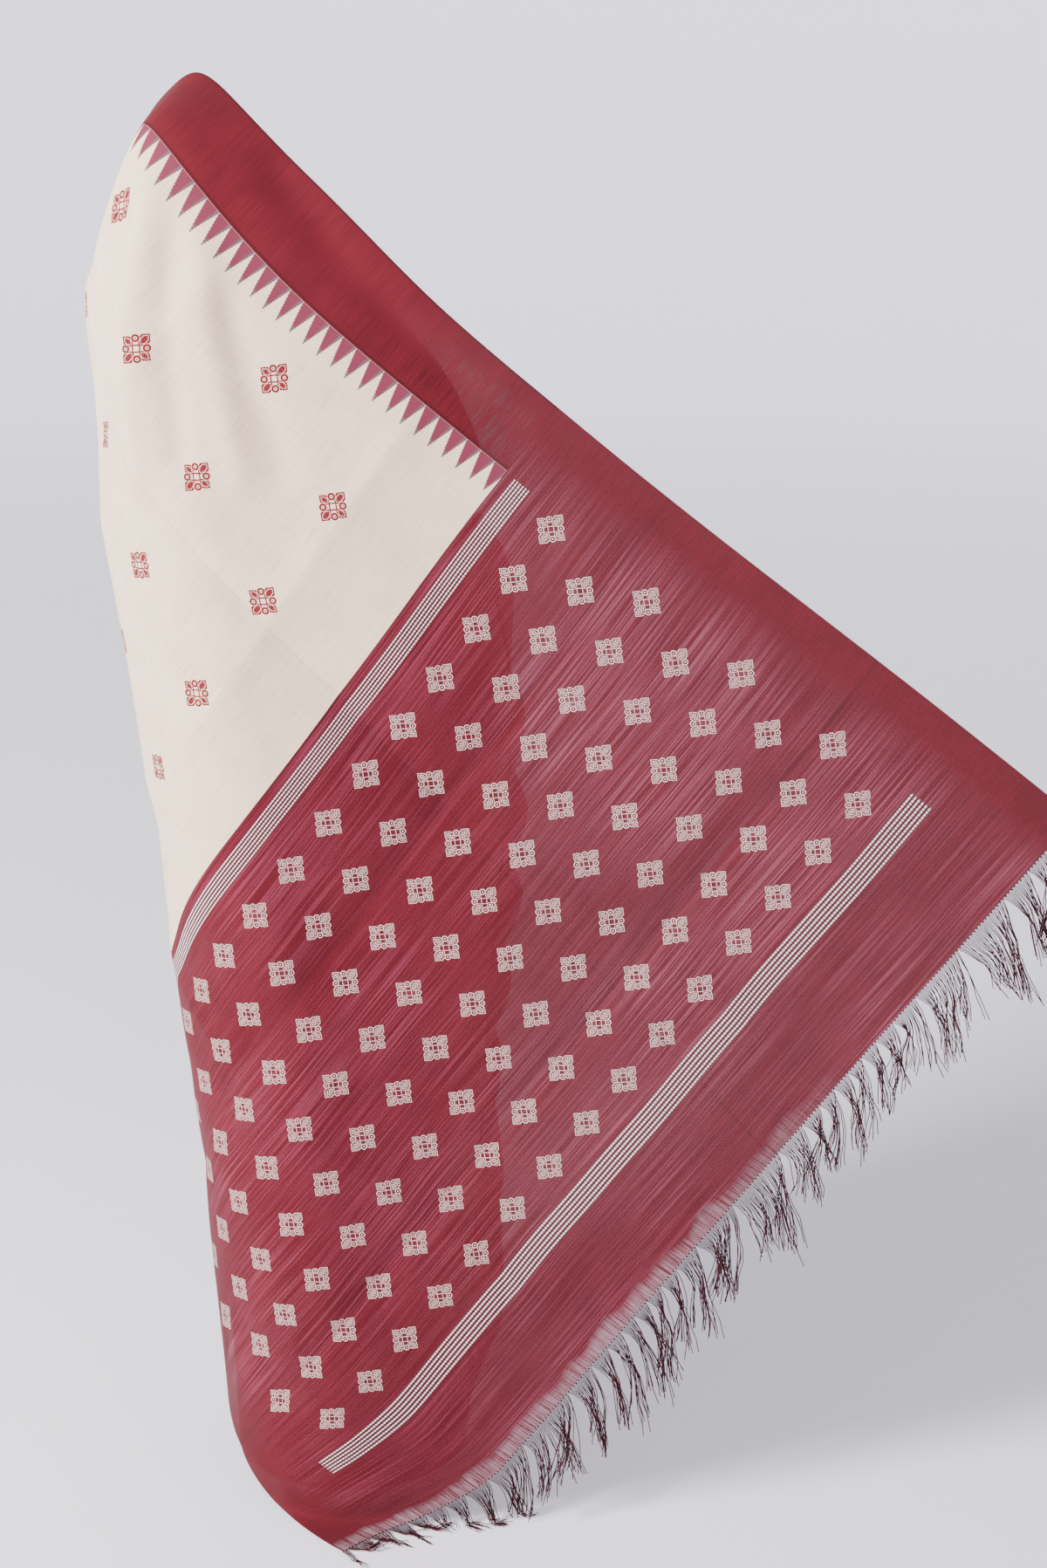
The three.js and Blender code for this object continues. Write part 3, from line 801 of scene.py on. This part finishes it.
@dataclass(frozen=True)
class Motif:
    """The woven flower of four petals with a ring between each two. Sizes in millimetres.

    Args:
        inner: where the petals start.
        tall, wide: the petals' tips across the cloth and along it.
        tall_half, wide_half: the petals' greatest half widths.
        ring_at, ring: the rings' places on the diagonals, and their radius.
        heart: the open square in the middle.
        line: how wide the outlines are.
        gap: how wide the open line inside the outlines is.
        fill: how closely the petals are filled, as a share.
        hatch: how much of a petal its hatching takes, as a share.
    """

    inner: float = 4.2
    tall: float = 18.6
    wide: float = 16.6
    tall_half: float = 5.2
    wide_half: float = 4.8
    ring_at: float = 6.8
    ring: float = 2.7
    heart: float = 3.3
    line: float = 0.8
    gap: float = 1.0
    fill: float = 0.0
    hatch: float = 0.22

    def petal(self, finish: Finish, side: Wire, out: Wire, tip: float, half: float, scallops: float,
              fill: float) -> Wire:
        """One pair of petals: a firm outline round a hatched leaf.

        Args:
            finish: the tree that it is drawn in.
            side: the distance from the petals' line.
            out: the distance from the middle along it.
            tip: where the petals end.
            half: their half width.
            scallops: how deep their edge is scalloped, as a share.
            fill: how closely they are hatched.

        Returns:
            The woven threads' share, 0 to 1.
        """
        t = out.ramp(self.inner, tip)
        round_ = half * finish.math("POWER", t * 3.0, 0.6)
        wave = 1.0 + scallops * finish.math("SINE", out * 2.4)
        width = finish.math("SMOOTH_MIN", round_, (tip - out) * 0.98, 2.2) * wave
        width = finish.math("MINIMUM", width, half)
        depth = width - side
        edge = depth.within(0.0, self.line, 0.4)
        bars = 1.0 - self.hatch
        hatch = finish.most(((side + out) / 2.8).fract() > bars, ((side - out) / 2.8).fract() > bars)
        inside = depth.ramp(self.line + self.gap, self.line + self.gap + 0.3) * (fill + (1.0 - fill) * hatch)
        return finish.most(edge, inside) * (t > 0.001) * (t < 0.999)

    def threads(self, finish: Finish, x: Wire, y: Wire) -> Wire:
        """The motif's woven threads, 0 to 1."""
        tall = self.petal(finish, x, y, self.tall, self.tall_half, 0.0, self.fill)
        wide = self.petal(finish, y, x, self.wide, self.wide_half, 0.10, self.fill)
        dx, dy = x - self.ring_at, y - self.ring_at
        radius = (dx * dx + dy * dy) ** 0.5
        half = self.line * 0.5
        ring = finish.most(radius.within(self.ring - half, self.ring + half, 0.3), radius.ramp(1.0, 0.6))
        clear = radius.ramp(self.ring + half + 0.2, self.ring + half + 0.6)
        cross = x + y
        heart = cross.within(self.heart + 0.2, self.heart + 0.2 + self.line, 0.3)
        leaves = finish.most(tall, wide) * clear
        return finish.most(leaves, ring, heart) * cross.ramp(self.heart - 0.2, self.heart + 0.2)


class Stretch(Enum):
    """The stretches of the saree's cloth."""

    BODY = "body"
    END = "end"


@dataclass(frozen=True)
class Dashes:
    """A band of lines of short white dashes, woven across the whole width. Sizes in metres.

    Args:
        start, stop: the band's edges along the cloth.
        lines: how many lines it has.
    """

    start: float
    stop: float
    lines: int
    first_v: float = 0.080
    last_v: float = 1.070
    repeat: float = 0.0036

    def inside(self, u: Wire, v: Wire) -> Wire:
        """Where the band is."""
        return u.within(self.start, self.stop, 0.0006) * v.within(self.first_v, self.last_v, 0.001)

    def threads(self, u: Wire, v: Wire) -> tuple[Wire, Wire]:
        """The white dashes and the dark spots between their lines, 0 to 1 each."""
        line = (u - self.start) * (self.lines / (self.stop - self.start))
        across = abs(line.fract() - 0.5)
        along = (v / self.repeat).fract()
        white = across.ramp(0.27, 0.15) * (0.20 + 0.80 * (along < 0.58))
        return white, across.ramp(0.20, 0.26) * along.within(0.05, 0.80, 0.1)


@dataclass(frozen=True)
class Weave:
    """The cloth's measures and its uneven tones, from 0 to 1.

    Args:
        u, v: the place along the length and across the width, in metres.
        near: how far the nearest selvedge is.
        slub: the thick and thin places of the threads that run across.
        warp: those of the threads that run along.
        cloud: the slow change of tone over the cloth.
    """

    u: Wire
    v: Wire
    near: Wire
    slub: Wire
    warp: Wire
    cloud: Wire


class CreaseShade(NamedTuple):
    """A fine line of painted shade along a crease where the cloth was folded and pressed.

    Args:
        place: where it starts, in metres from the ridge, or from the upper selvedge if lengthwise.
        lean: how far it moves for each metre of its length.
        strength: how clearly it shows, as a share.
        lengthwise: whether it runs along the cloth's length.
    """

    place: float
    lean: float
    strength: float
    lengthwise: bool = False


# The pressed creases' lines of painted shade.
CREASE_SHADES = (
    CreaseShade(0.157, -0.010, 0.4),
    CreaseShade(0.383, 0.034, 0.5),
    CreaseShade(0.622, 0.017, 0.8),
    CreaseShade(0.870, 0.012, 1.0),
    CreaseShade(0.281, 0.180, 1.0, True),
    CreaseShade(0.767, 0.000, 0.4, True),
)


@dataclass(frozen=True)
class Cloth:
    """The saree's cloth: its ground, borders, bands and motifs.

    Args:
        stretch: the cream body or the sheer maroon end.
        ground, deep: the ground's colour, and its darker threads.
        shade: the colour of the painted shade in the fine lines along the pressed creases.
        motif: the motifs' colour.
        lattice: where the motifs are woven.
        flower: the motif itself.
        sheer_border: whether light comes through the border.
        border, border_dark: the border's colour, and its darker threads.
        mauve, grey: the colours of the points and of their shaded sides.
        white, spot: the bands' dashes, and the dark spots between them.
        bare, pale: the bare threads at the very end, and the pale streaks of the sheer cloth, painted light from
            behind that shows through its thin places.
        width, border_width: the widths of the cloth and of a border, in metres.
        point_pitch, point_height, point_steps: the points' spacing, height and steps.
        hatch_pitch: the spacing of the fine lines in the points.
        bands: the end's two bands of dashes.
        cover, most_cover: how closely the end covers between its gaps, and at most.
        relief: how deep the threads' relief is, in metres.
        sheen: the soft light at the cloth's edges.
    """

    stretch: Stretch
    ground: Colour
    deep: Colour
    shade: Colour
    motif: Colour
    lattice: Lattice
    flower: Motif
    sheer_border: bool = False
    border: Colour = srgb(90, 15, 27)
    border_dark: Colour = srgb(66, 10, 19)
    mauve: Colour = srgb(108, 46, 62)
    grey: Colour = srgb(92, 74, 82)
    white: Colour = srgb(232, 222, 216)
    bare: Colour = srgb(150, 122, 130)
    spot: Colour = srgb(66, 16, 28)
    pale: Colour = srgb(140, 60, 80)
    width: float = 1.150
    border_width: float = 0.078
    point_pitch: float = 0.0168
    point_height: float = 0.029
    point_steps: float = 10.0
    hatch_pitch: float = 0.0021
    bands: tuple[Dashes, Dashes] = (Dashes(0.4945, 0.5145, 6), Dashes(0.976, 1.003, 6, first_v=0.085))
    cover: float = 0.983
    most_cover: float = 0.988
    relief: float = 0.00012
    sheen: float = 0.05

    def material(self, name: str) -> bpy.types.Material:
        """Makes the finish of this stretch.

        Args:
            name: the finish's name.

        Returns:
            The material.
        """
        f = Finish(name)
        u, v = f.place()
        weave = Weave(
            u, v, f.math("MINIMUM", v, self.width - v), slub=f.noise(u, v, 700.0, 26.0, 1.0),
            warp=f.noise(u, v, 24.0, 700.0, 1.0, 4.0), cloud=f.noise(u, v, 22.0, 22.0, 1.0, 9.0))
        warp_share = 0.26 if self.stretch is Stretch.BODY else 0.06
        tone = weave.slub.ramp(0.38, 0.70) * 0.42 + weave.warp.ramp(0.42, 0.72) * warp_share
        colour = f.blend(self.ground, self.deep, tone + weave.cloud.ramp(0.35, 0.75) * 0.25)
        x, y, there = self.lattice.local(f, u, v)
        threads = self.flower.threads(f, x, y) * there
        # the pressed creases get fine lines of painted shade
        colour = self.pressed(f, f.blend(colour, self.motif, threads), weave)
        if self.stretch is Stretch.BODY:
            colour, alpha = self.bordered(f, colour, weave)
        else:
            colour, alpha = self.banded(f, colour, weave, threads)
        relief = weave.slub * 0.7 + weave.warp * 0.3
        return f.surface(colour, 0.70 + weave.cloud * 0.16, relief, self.relief, alpha, self.sheen)

    def pressed(self, f: Finish, colour: Wire, weave: Weave) -> Wire:
        """Adds fine lines of painted shade along the creases where the cloth was folded and pressed.

        Args:
            f: the tree that they are drawn in.
            colour: the colour before.
            weave: the cloth's measures and tones.

        Returns:
            The colour with them.
        """
        lines: Value = 0.0
        for line in CREASE_SHADES:
            measure, other = (weave.v, weave.u) if line.lengthwise else (weave.u, weave.v)
            apart = abs(measure - line.place - other * line.lean + (weave.cloud - 0.5) * 0.003)
            lines = apart.ramp(0.0034, 0.0004) * line.strength + lines
        # painted shade: the colour is darkened towards the shade colour along each crease line
        return f.blend(colour, self.shade, lines * (0.14 if self.stretch is Stretch.BODY else 0.26))

    def bordered(self, f: Finish, colour: Wire, weave: Weave) -> tuple[Wire, Optional[Wire]]:
        """Adds the borders along both selvedges and their rows of stepped points.

        Args:
            f: the tree that they are drawn in.
            colour: the colour before.
            weave: the cloth's measures and tones.

        Returns:
            The colour with them, and how closely the cloth covers where its border is sheer.
        """
        u, near, slub, start = weave.u, weave.near, weave.slub, self.border_width
        edge = near.ramp(start + 0.0004, start - 0.0004)
        t = near.ramp(start, start + self.point_height)
        steps = f.math("FLOOR", t * self.point_steps) / self.point_steps
        across = (u / self.point_pitch).fract() - 0.5
        half = (1.0 - steps) * 0.49
        inside = (half - abs(across)).ramp(-0.02, 0.02) * (t < 0.995) * (t > 0.001)
        shaded = f.most((across - half * 0.55).ramp(0.0, 0.05), t.ramp(0.72, 0.8))
        point = f.blend(self.mauve, self.border, ((u / self.hatch_pitch).fract() > 0.62) * 0.5)
        point = f.blend(point, self.grey, shaded * 0.85)
        colour = f.blend(colour, self.white, near.within(start, start + 0.0016, 0.0006) * 0.8)
        colour = f.blend(colour, point, inside)
        dark = slub.ramp(0.35, 0.8) * 0.6 + weave.cloud.ramp(0.3, 0.8) * 0.4
        line = near.within(start - 0.0034, start - 0.0012, 0.0008)
        dense = f.blend(self.border, self.border_dark, dark)
        dense = f.blend(dense, self.border_dark, f.most(line, near.ramp(0.003, 0.001)))
        alpha = None
        if self.sheer_border:
            gaps = slub.ramp(0.48, 0.70) * near.ramp(0.012, 0.03)
            alpha = 1.0 - (edge * u.ramp(0.30, 0.40) * (0.010 + gaps * 0.030)) ** 0.5
        return f.blend(colour, dense, edge), alpha

    def banded(self, f: Finish, colour: Wire, weave: Weave, threads: Wire) -> tuple[Wire, Wire]:
        """Adds the end's two bands of dashes, its joint, its bare threads, and the painted light of the pale streaks
        at its thin places.

        Args:
            f: the tree that they are drawn in.
            colour: the colour before.
            weave: the cloth's measures and tones.
            threads: where its motifs are.

        Returns:
            The colour with them, and how closely one of the cloth's two layers covers.
        """
        u, v, near, cloud = weave.u, weave.v, weave.near, weave.cloud
        first, second = (band.inside(u, v) for band in self.bands)
        (white1, dark1), (white2, dark2) = (band.threads(u, v) for band in self.bands)
        bands = f.most(first, second)
        colour = f.blend(colour, self.border, bands)
        colour = f.blend(colour, self.spot, f.most(dark1 * first, dark2 * second))
        colour = f.blend(colour, self.white, f.most(white1 * first, white2 * second))
        joint = u.within(0.4845, 0.4868, 0.0006) * (v > self.border_width)
        colour = f.blend(colour, self.border_dark, joint)
        bare = (u + cloud * 0.022).ramp(1.1060, 1.1160) * v.ramp(0.36, 0.66) * weave.warp.ramp(0.34, 0.60)
        colour = f.blend(colour, self.bare, bare * 0.75)
        streak = f.noise(u, v, 620.0, 6.0, 2.0, 2.0)
        drift = f.noise(u, v, 9.0, 3.0, 1.0, 12.0)
        gaps = streak.ramp(0.44, 0.70) * (0.35 + 0.65 * drift.ramp(0.38, 0.64)) * near.ramp(0.03, 0.09)
        cover = self.cover - gaps * 0.046 + near.ramp(0.06, 0.02) * 0.008
        cover = f.most(cover, bands * 0.97, threads * 0.95, joint) - bare * 0.12
        alpha = 1.0 - (1.0 - f.math("MINIMUM", cover, self.most_cover)) ** 0.5
        # painted light: the thin places are paled towards the pale colour, as if light from behind shows through
        # them; their cover is also a little less
        return f.blend(colour, self.pale, gaps * 0.75 * (1.0 - f.most(bands, threads))), alpha


BODY_CLOTH = Cloth(
    Stretch.BODY, srgb(222, 198, 172), srgb(190, 165, 140), srgb(128, 110, 92), srgb(104, 12, 28),
    Lattice(0.377, 0.210, 0.1165, 0.121, 0.060, (-50.0, 0.450), (0.120, 1.030)),
    Motif(line=2.0, gap=0.5, fill=0.92, hatch=0.60),
)
END_CLOTH = Cloth(
    Stretch.END, srgb(88, 14, 26), srgb(64, 9, 18), srgb(44, 6, 13), srgb(216, 192, 180),
    Lattice(0.5515, 0.0965, 0.056, 0.0636, 0.0318, (0.540, 0.960), (0.080, 1.080)),
    Motif(),
)


@dataclass(frozen=True)
class ThreadFinish:
    """The twisted threads of the fringe."""

    light: Colour = srgb(74, 22, 34)
    dark: Colour = srgb(24, 9, 12)

    def material(self, name: str) -> bpy.types.Material:
        """Makes the threads' finish."""
        f = Finish(name)
        tone = f.wire("ShaderNodeTexNoise", None, {"Vector": f.spot(), "Scale": 160.0, "Detail": 2.0})
        colour = f.blend(self.dark, self.light, tone.ramp(0.3, 0.7))
        return f.surface(colour, 0.75 + tone * 0.15, tone, 0.0001)


@dataclass(frozen=True)
class Fringe:
    """The knotted threads along the end's edge, in drooping wisps. Sizes in metres.

    Args:
        threads: how many threads there are.
        length: how long they are.
        thickness: a thread's radius.
        droop: how far they bend down, as a share of their length.
        stray: how far they stray from their line, as a share of their length.
        gather: how far a wisp's outer threads are drawn together at their tips.
        knots: how many knots hold them.
        knot: a knot's radius.
        seed: the fixed seed of their unevenness.
        points: how many points draw a thread.
        shortest: the shortest thread, as a share of the length.
        rest: how high a thread lies on the floor.
    """

    threads: int = 620
    length: float = 0.062
    thickness: float = 0.00050
    droop: float = 0.95
    stray: float = 0.24
    gather: float = 0.036
    knots: int = 260
    knot: float = 0.0011
    seed: int = 7
    points: int = 9
    shortest: float = 0.62
    rest: float = 0.0022

    def edge(self, grid: Grid) -> bpy.types.Object:
        """The line that the threads stand on, with the way out of the cloth at each of its points."""
        last = grid.points[:, -1]
        out = last - grid.points[:, -3]
        out /= np.linalg.norm(out, axis=1, keepdims=True)
        mesh = bpy.data.meshes.new("fringe_edge")
        mesh.from_pydata((last + out * 0.0006).tolist(), [(i, i + 1) for i in range(len(last) - 1)], [])
        along = np.gradient(last, axis=0)
        along /= np.linalg.norm(along, axis=1, keepdims=True)
        for name, way in (("out", out), ("along", along)):
            kept = mesh.attributes.new(name, "FLOAT_VECTOR", "POINT")
            kept.data.foreach_set("vector", way.astype(np.float32).ravel())
        return linked("fringe_edge", mesh)

    def inputs(self) -> dict[str, Union[int, float]]:
        """The sizes that the rule is given, by their names."""
        return {"Threads": self.threads, "Length": self.length, "Thickness": self.thickness, "Droop": self.droop,
                "Stray": self.stray, "Gather": self.gather, "Knots": self.knots, "Knot": self.knot}

    def tree(self, material: bpy.types.Material) -> bpy.types.NodeTree:
        """The rule that grows knots and threads from the line.

        Args:
            material: the threads' finish.

        Returns:
            The node group.
        """
        group = bpy.data.node_groups.new("fringe", "GeometryNodeTree")
        group.interface.new_socket("Geometry", in_out="OUTPUT", socket_type="NodeSocketGeometry")
        group.interface.new_socket("Geometry", in_out="INPUT", socket_type="NodeSocketGeometry")
        for name, value in self.inputs().items():
            kind = "Int" if isinstance(value, int) else "Float"
            group.interface.new_socket(name, in_out="INPUT", socket_type=f"NodeSocket{kind}")
        t = Tree(group)
        given = {s.name: Wire(t, s) for s in t.node("NodeGroupInput").outputs}

        def stored(name: str, kind: str = "FLOAT_VECTOR") -> Wire:
            """A value that was kept at the points."""
            return t.wire("GeometryNodeInputNamedAttribute", {"data_type": kind}, {"Name": name})

        def store(points: Wire, name: str, value: Wire, kind: str = "FLOAT_VECTOR") -> Wire:
            """The points, with a value kept at them."""
            return t.wire("GeometryNodeStoreNamedAttribute", {"data_type": kind, "domain": "POINT"},
                          {"Geometry": points, "Name": name, "Value": value})

        def drift(scale: float, detail: float, size: Value) -> Wire:
            """An uneven way to stray, like that of near points."""
            noise = t.wire("ShaderNodeTexNoise", None, {"Vector": spot, "Scale": scale, "Detail": detail}, 1)
            return t.scaled(t.vector("SUBTRACT", noise, (0.5, 0.5, 0.5)), size)

        spot = t.wire("GeometryNodeInputPosition")
        index = t.wire("GeometryNodeInputIndex")
        curve = t.wire("GeometryNodeMeshToCurve", None, {0: given["Geometry"]})
        roots, seats = (t.wire("GeometryNodeResampleCurve", None, {"Curve": curve, "Count": given[name]})
                        for name in ("Threads", "Knots"))
        turn = t.wire("FunctionNodeAlignRotationToVector", {"axis": "Z"}, {"Vector": stored("out")})
        line = t.wire("GeometryNodeCurvePrimitiveLine", None, {"End": (0.0, 0.0, 1.0)})
        line = t.wire("GeometryNodeResampleCurve", None, {"Curve": line, "Count": self.points})
        line = store(line, "share", t.wire("GeometryNodeSplineParameter"), "FLOAT")
        uneven = t.wire("FunctionNodeRandomValue", {"data_type": "FLOAT"}, {
            2: self.shortest, 3: 1.0, "Seed": self.seed}, 1)
        scale = t.wire("ShaderNodeCombineXYZ", None, {0: 1.0, 1: 1.0, 2: given["Length"] * uneven})
        stray = t.wire("FunctionNodeRandomValue", {"data_type": "FLOAT_VECTOR"}, {
            0: (-1.0, -1.0, -1.0), 1: (1.0, 1.0, 1.0), "Seed": self.seed + 1})
        roots = store(roots, "lean", t.vector("ADD", t.scaled(stray, 0.35), drift(30.0, 1.0, 6.0)))
        wisp = (index * 0.052 + t.math("SINE", index * 0.033)).fract()
        roots = store(roots, "pull", (0.5 - wisp) * given["Gather"], "FLOAT")
        grown = t.wire("GeometryNodeInstanceOnPoints", None, {
            "Points": roots, "Instance": line, "Rotation": turn, "Scale": scale})
        grown = t.wire("GeometryNodeRealizeInstances", None, {0: grown})

        share = stored("share", "FLOAT")
        bend = share * share * given["Length"]
        moved = t.vector("ADD", spot, t.scaled(stored("lean"), bend * given["Stray"]))
        for move in (t.wire("ShaderNodeCombineXYZ", None, {2: bend * given["Droop"] * -1.0}),
                     t.scaled(stored("out"), bend * -0.35), drift(70.0, 0.0, share * 0.014),
                     t.scaled(stored("along"), stored("pull", "FLOAT") * share)):
            moved = t.vector("ADD", moved, move)
        kept = t.vector("MAXIMUM", moved, (-10.0, -10.0, FLOOR_Z + self.rest))
        grown = t.wire("GeometryNodeSetPosition", None, {"Geometry": grown, "Position": kept})
        ring = t.wire("GeometryNodeCurvePrimitiveCircle", None, {"Resolution": 3, "Radius": given["Thickness"]})
        strands = t.wire("GeometryNodeCurveToMesh", None, {
            "Curve": grown, "Profile Curve": ring, "Fill Caps": True})
        ball = t.wire("GeometryNodeMeshIcoSphere", None, {"Radius": given["Knot"], "Subdivisions": 1})
        both = t.node("GeometryNodeJoinGeometry")
        for made in (strands, t.wire("GeometryNodeInstanceOnPoints", None, {"Points": seats, "Instance": ball})):
            group.links.new(made.socket, both.inputs[0])
        whole = t.wire("GeometryNodeRealizeInstances", None, {0: Wire(t, both.outputs[0])})
        whole = t.wire("GeometryNodeSetMaterial", None, {"Geometry": whole, "Material": material})
        t.node("NodeGroupOutput", None, {0: whole})
        return group

    def build(self, grid: Grid, material: bpy.types.Material) -> bpy.types.Object:
        """Makes the fringe as a plain mesh.

        Args:
            grid: the spread end that it hangs from.
            material: its threads' finish.

        Returns:
            The fringe.
        """
        line = self.edge(grid)
        grow = line.modifiers.new("fringe", "NODES")
        grow.node_group = self.tree(material)
        sockets = {s.name: s.identifier for s in grow.node_group.interface.items_tree if s.in_out == "INPUT"}
        for name, value in self.inputs().items():
            grow[sockets[name]] = value
        evaluated = line.evaluated_get(bpy.context.evaluated_depsgraph_get())
        mesh = bpy.data.meshes.new_from_object(evaluated)
        bpy.data.objects.remove(line, do_unlink=True)
        mesh.name = "fringe_threads"
        return linked("fringe_threads", mesh)


class Lamp(NamedTuple):
    """A soft square light. Sizes in metres, power in watts."""

    name: str
    place: tuple[float, float, float]
    aim: tuple[float, float, float]
    size: float
    power: float
    colour: Colour


LAMPS = (
    Lamp("key", (3.0, 1.9, 1.7), (0.0, 0.0, -0.3), 1.1, 600.0, (1.0, 0.97, 0.95)),
    Lamp("fill", (-2.8, 2.6, 1.0), (-0.2, 0.0, -0.3), 2.4, 36.0, (0.95, 0.96, 1.0)),
    Lamp("front", (0.6, -2.6, 1.8), (0.0, 0.0, 0.0), 1.6, 14.0, (1.0, 1.0, 1.0)),
)


@dataclass(frozen=True)
class Studio:
    """The pale floor, which rises softly far off on all sides, the soft light and the camera.

    Args:
        floor_colour: the floor's colour.
        near_glow, far_glow: its own light, near the saree and far from it.
        glow_from: where the glow starts to grow, in metres.
        inner, ring, flat: the radii of the flat floor's rings.
        rise: the radius of its rise.
        tall: how high it rises.
        sides: how many sides it has.
        sky: the colour of the light from all round.
        sky_strength: its strength.
        camera_place: where the camera stands.
        camera_tilt: how far it is tilted up from straight down, in degrees.
        lens: its focal length, in millimetres.
    """

    floor_colour: Colour = srgb(214, 211, 219)
    near_glow: Colour = (0.30, 0.29, 0.31)
    far_glow: Colour = (1.02, 1.00, 1.14)
    glow_from: float = 1.2
    inner: float = 0.5
    ring: float = 2.0
    flat: float = 7.0
    rise: float = 2.5
    tall: float = 5.0
    sides: int = 96
    sky: Colour = (0.83, 0.84, 0.90)
    sky_strength: float = 0.34
    camera_place: tuple[float, float, float] = (-0.20, 2.59, 0.52)
    camera_tilt: float = 71.85
    lens: float = 60.1

    def build(self) -> None:
        """Makes the studio."""
        self.floor()
        world = bpy.data.worlds.new("studio")
        world.use_nodes = True
        sky = world.node_tree.nodes["Background"].inputs
        sky[0].default_value, sky[1].default_value = (*self.sky, 1.0), self.sky_strength
        bpy.context.scene.world = world
        for lamp in LAMPS:
            light = bpy.data.lights.new(lamp.name, "AREA")
            light.size, light.energy, light.color = lamp.size, lamp.power, lamp.colour
            obj = linked(lamp.name, light)
            obj.location = lamp.place
            obj.rotation_euler = (Vector(lamp.aim) - Vector(lamp.place)).to_track_quat("-Z", "Y").to_euler()
        camera = bpy.data.cameras.new("camera")
        camera.sensor_fit, camera.sensor_height, camera.lens = "VERTICAL", 36.0, self.lens
        view = linked("camera", camera)
        view.location = self.camera_place
        view.rotation_euler = (math.radians(self.camera_tilt), 0.0, math.pi)
        bpy.context.scene.camera = view

    def floor(self) -> bpy.types.Object:
        """The floor, a round one that turns up far off."""
        f = Finish("studio floor")
        spot = f.spot()
        tone = f.wire("ShaderNodeTexNoise", None, {"Vector": spot, "Scale": 3.0})
        colour = f.blend(self.floor_colour, tuple(c * 0.97 for c in self.floor_colour), tone)
        x, y = f.parts(spot)
        glow = f.blend(self.near_glow, self.far_glow, ((x * x + y * y) ** 0.5).ramp(self.glow_from, self.flat))
        profile = [(self.inner, 0.0), (self.ring, 0.0), (self.flat, 0.0)]
        profile += [(self.flat + self.rise * math.sin(a), self.rise * (1.0 - math.cos(a)))
                    for a in np.linspace(0.0, math.pi / 2, 13)[1:]]
        profile.append((self.flat + self.rise, self.tall))
        around = np.arange(self.sides) * 2 * math.pi / self.sides
        points = [(0.0, 0.0, FLOOR_Z)]
        points += [(r * math.cos(a), r * math.sin(a), FLOOR_Z + z) for r, z in profile for a in around]
        steps = [(i, (i + 1) % self.sides) for i in range(self.sides)]
        faces = [(0, 1 + i, 1 + j) for i, j in steps]
        for low in range(1, 1 + (len(profile) - 1) * self.sides, self.sides):
            high = low + self.sides
            faces += [(low + i, high + i, high + j, low + j) for i, j in steps]
        mesh = bpy.data.meshes.new("floor")
        mesh.from_pydata(points, [], faces)
        mesh.polygons.foreach_set("use_smooth", [True] * len(faces))
        mesh.materials.append(f.surface(colour, 0.85, tone, 0.0001, glow=glow))
        return linked("floor", mesh)


def main() -> None:
    """Builds the saree, the floor, the light and the camera."""
    logging.basicConfig(level=logging.INFO)
    drape, steps = Drape(), Steps()
    cream = BODY_CLOTH.material("cream cloth")
    sheer_cream = replace(BODY_CLOTH, sheer_border=True).material("cream cloth with sheer border")
    maroon = END_CLOTH.material("maroon cloth")
    thread = ThreadFinish().material("fringe thread")
    whole = shoulder_cloth(drape, steps).folded(PRESSED + SOFT)
    ridge, end = steps.front, steps.front + steps.shoulder
    pieces = {
        "skirt_first_turn": (skirt_turn(drape, 0.0, steps, True).folded(FIRST_TURN), cream, "cream_cloth"),
        "skirt_second_turn": (
            skirt_turn(drape, drape.outer_offset, steps, False).folded(SECOND_TURN), cream, "cream_cloth"),
        "front_pleats": (PLEATS.grid(drape, steps), cream, "cream_cloth"),
        "front_drape": (whole.columns(0, ridge), cream, "cream_cloth"),
        "shoulder_fall": (whole.columns(ridge, end), sheer_cream, "cream_cloth"),
        "spread_end": (whole.columns(end, end + steps.field), maroon, "maroon_cloth"),
    }
    fringe = Fringe().build(pieces["spread_end"][0], thread)
    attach(fringe, BODY)
    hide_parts("fringe_upper", "fringe_middle", "fringe_lower")
    for name, (grid, material, slot) in pieces.items():
        obj = cloth_object(f"{name}_cloth", grid, 0.0008, material)
        flat = (grid.v.max() - grid.v.min(), grid.u.max() - grid.u.min())
        LOG.info("%s: %.3f m by %.3f m", name, *flat)
        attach(obj, BODY)
        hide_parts(name)
        [fringe] if name == "spread_end" else []
    Studio().build()


if __name__ == "__main__":
    main()
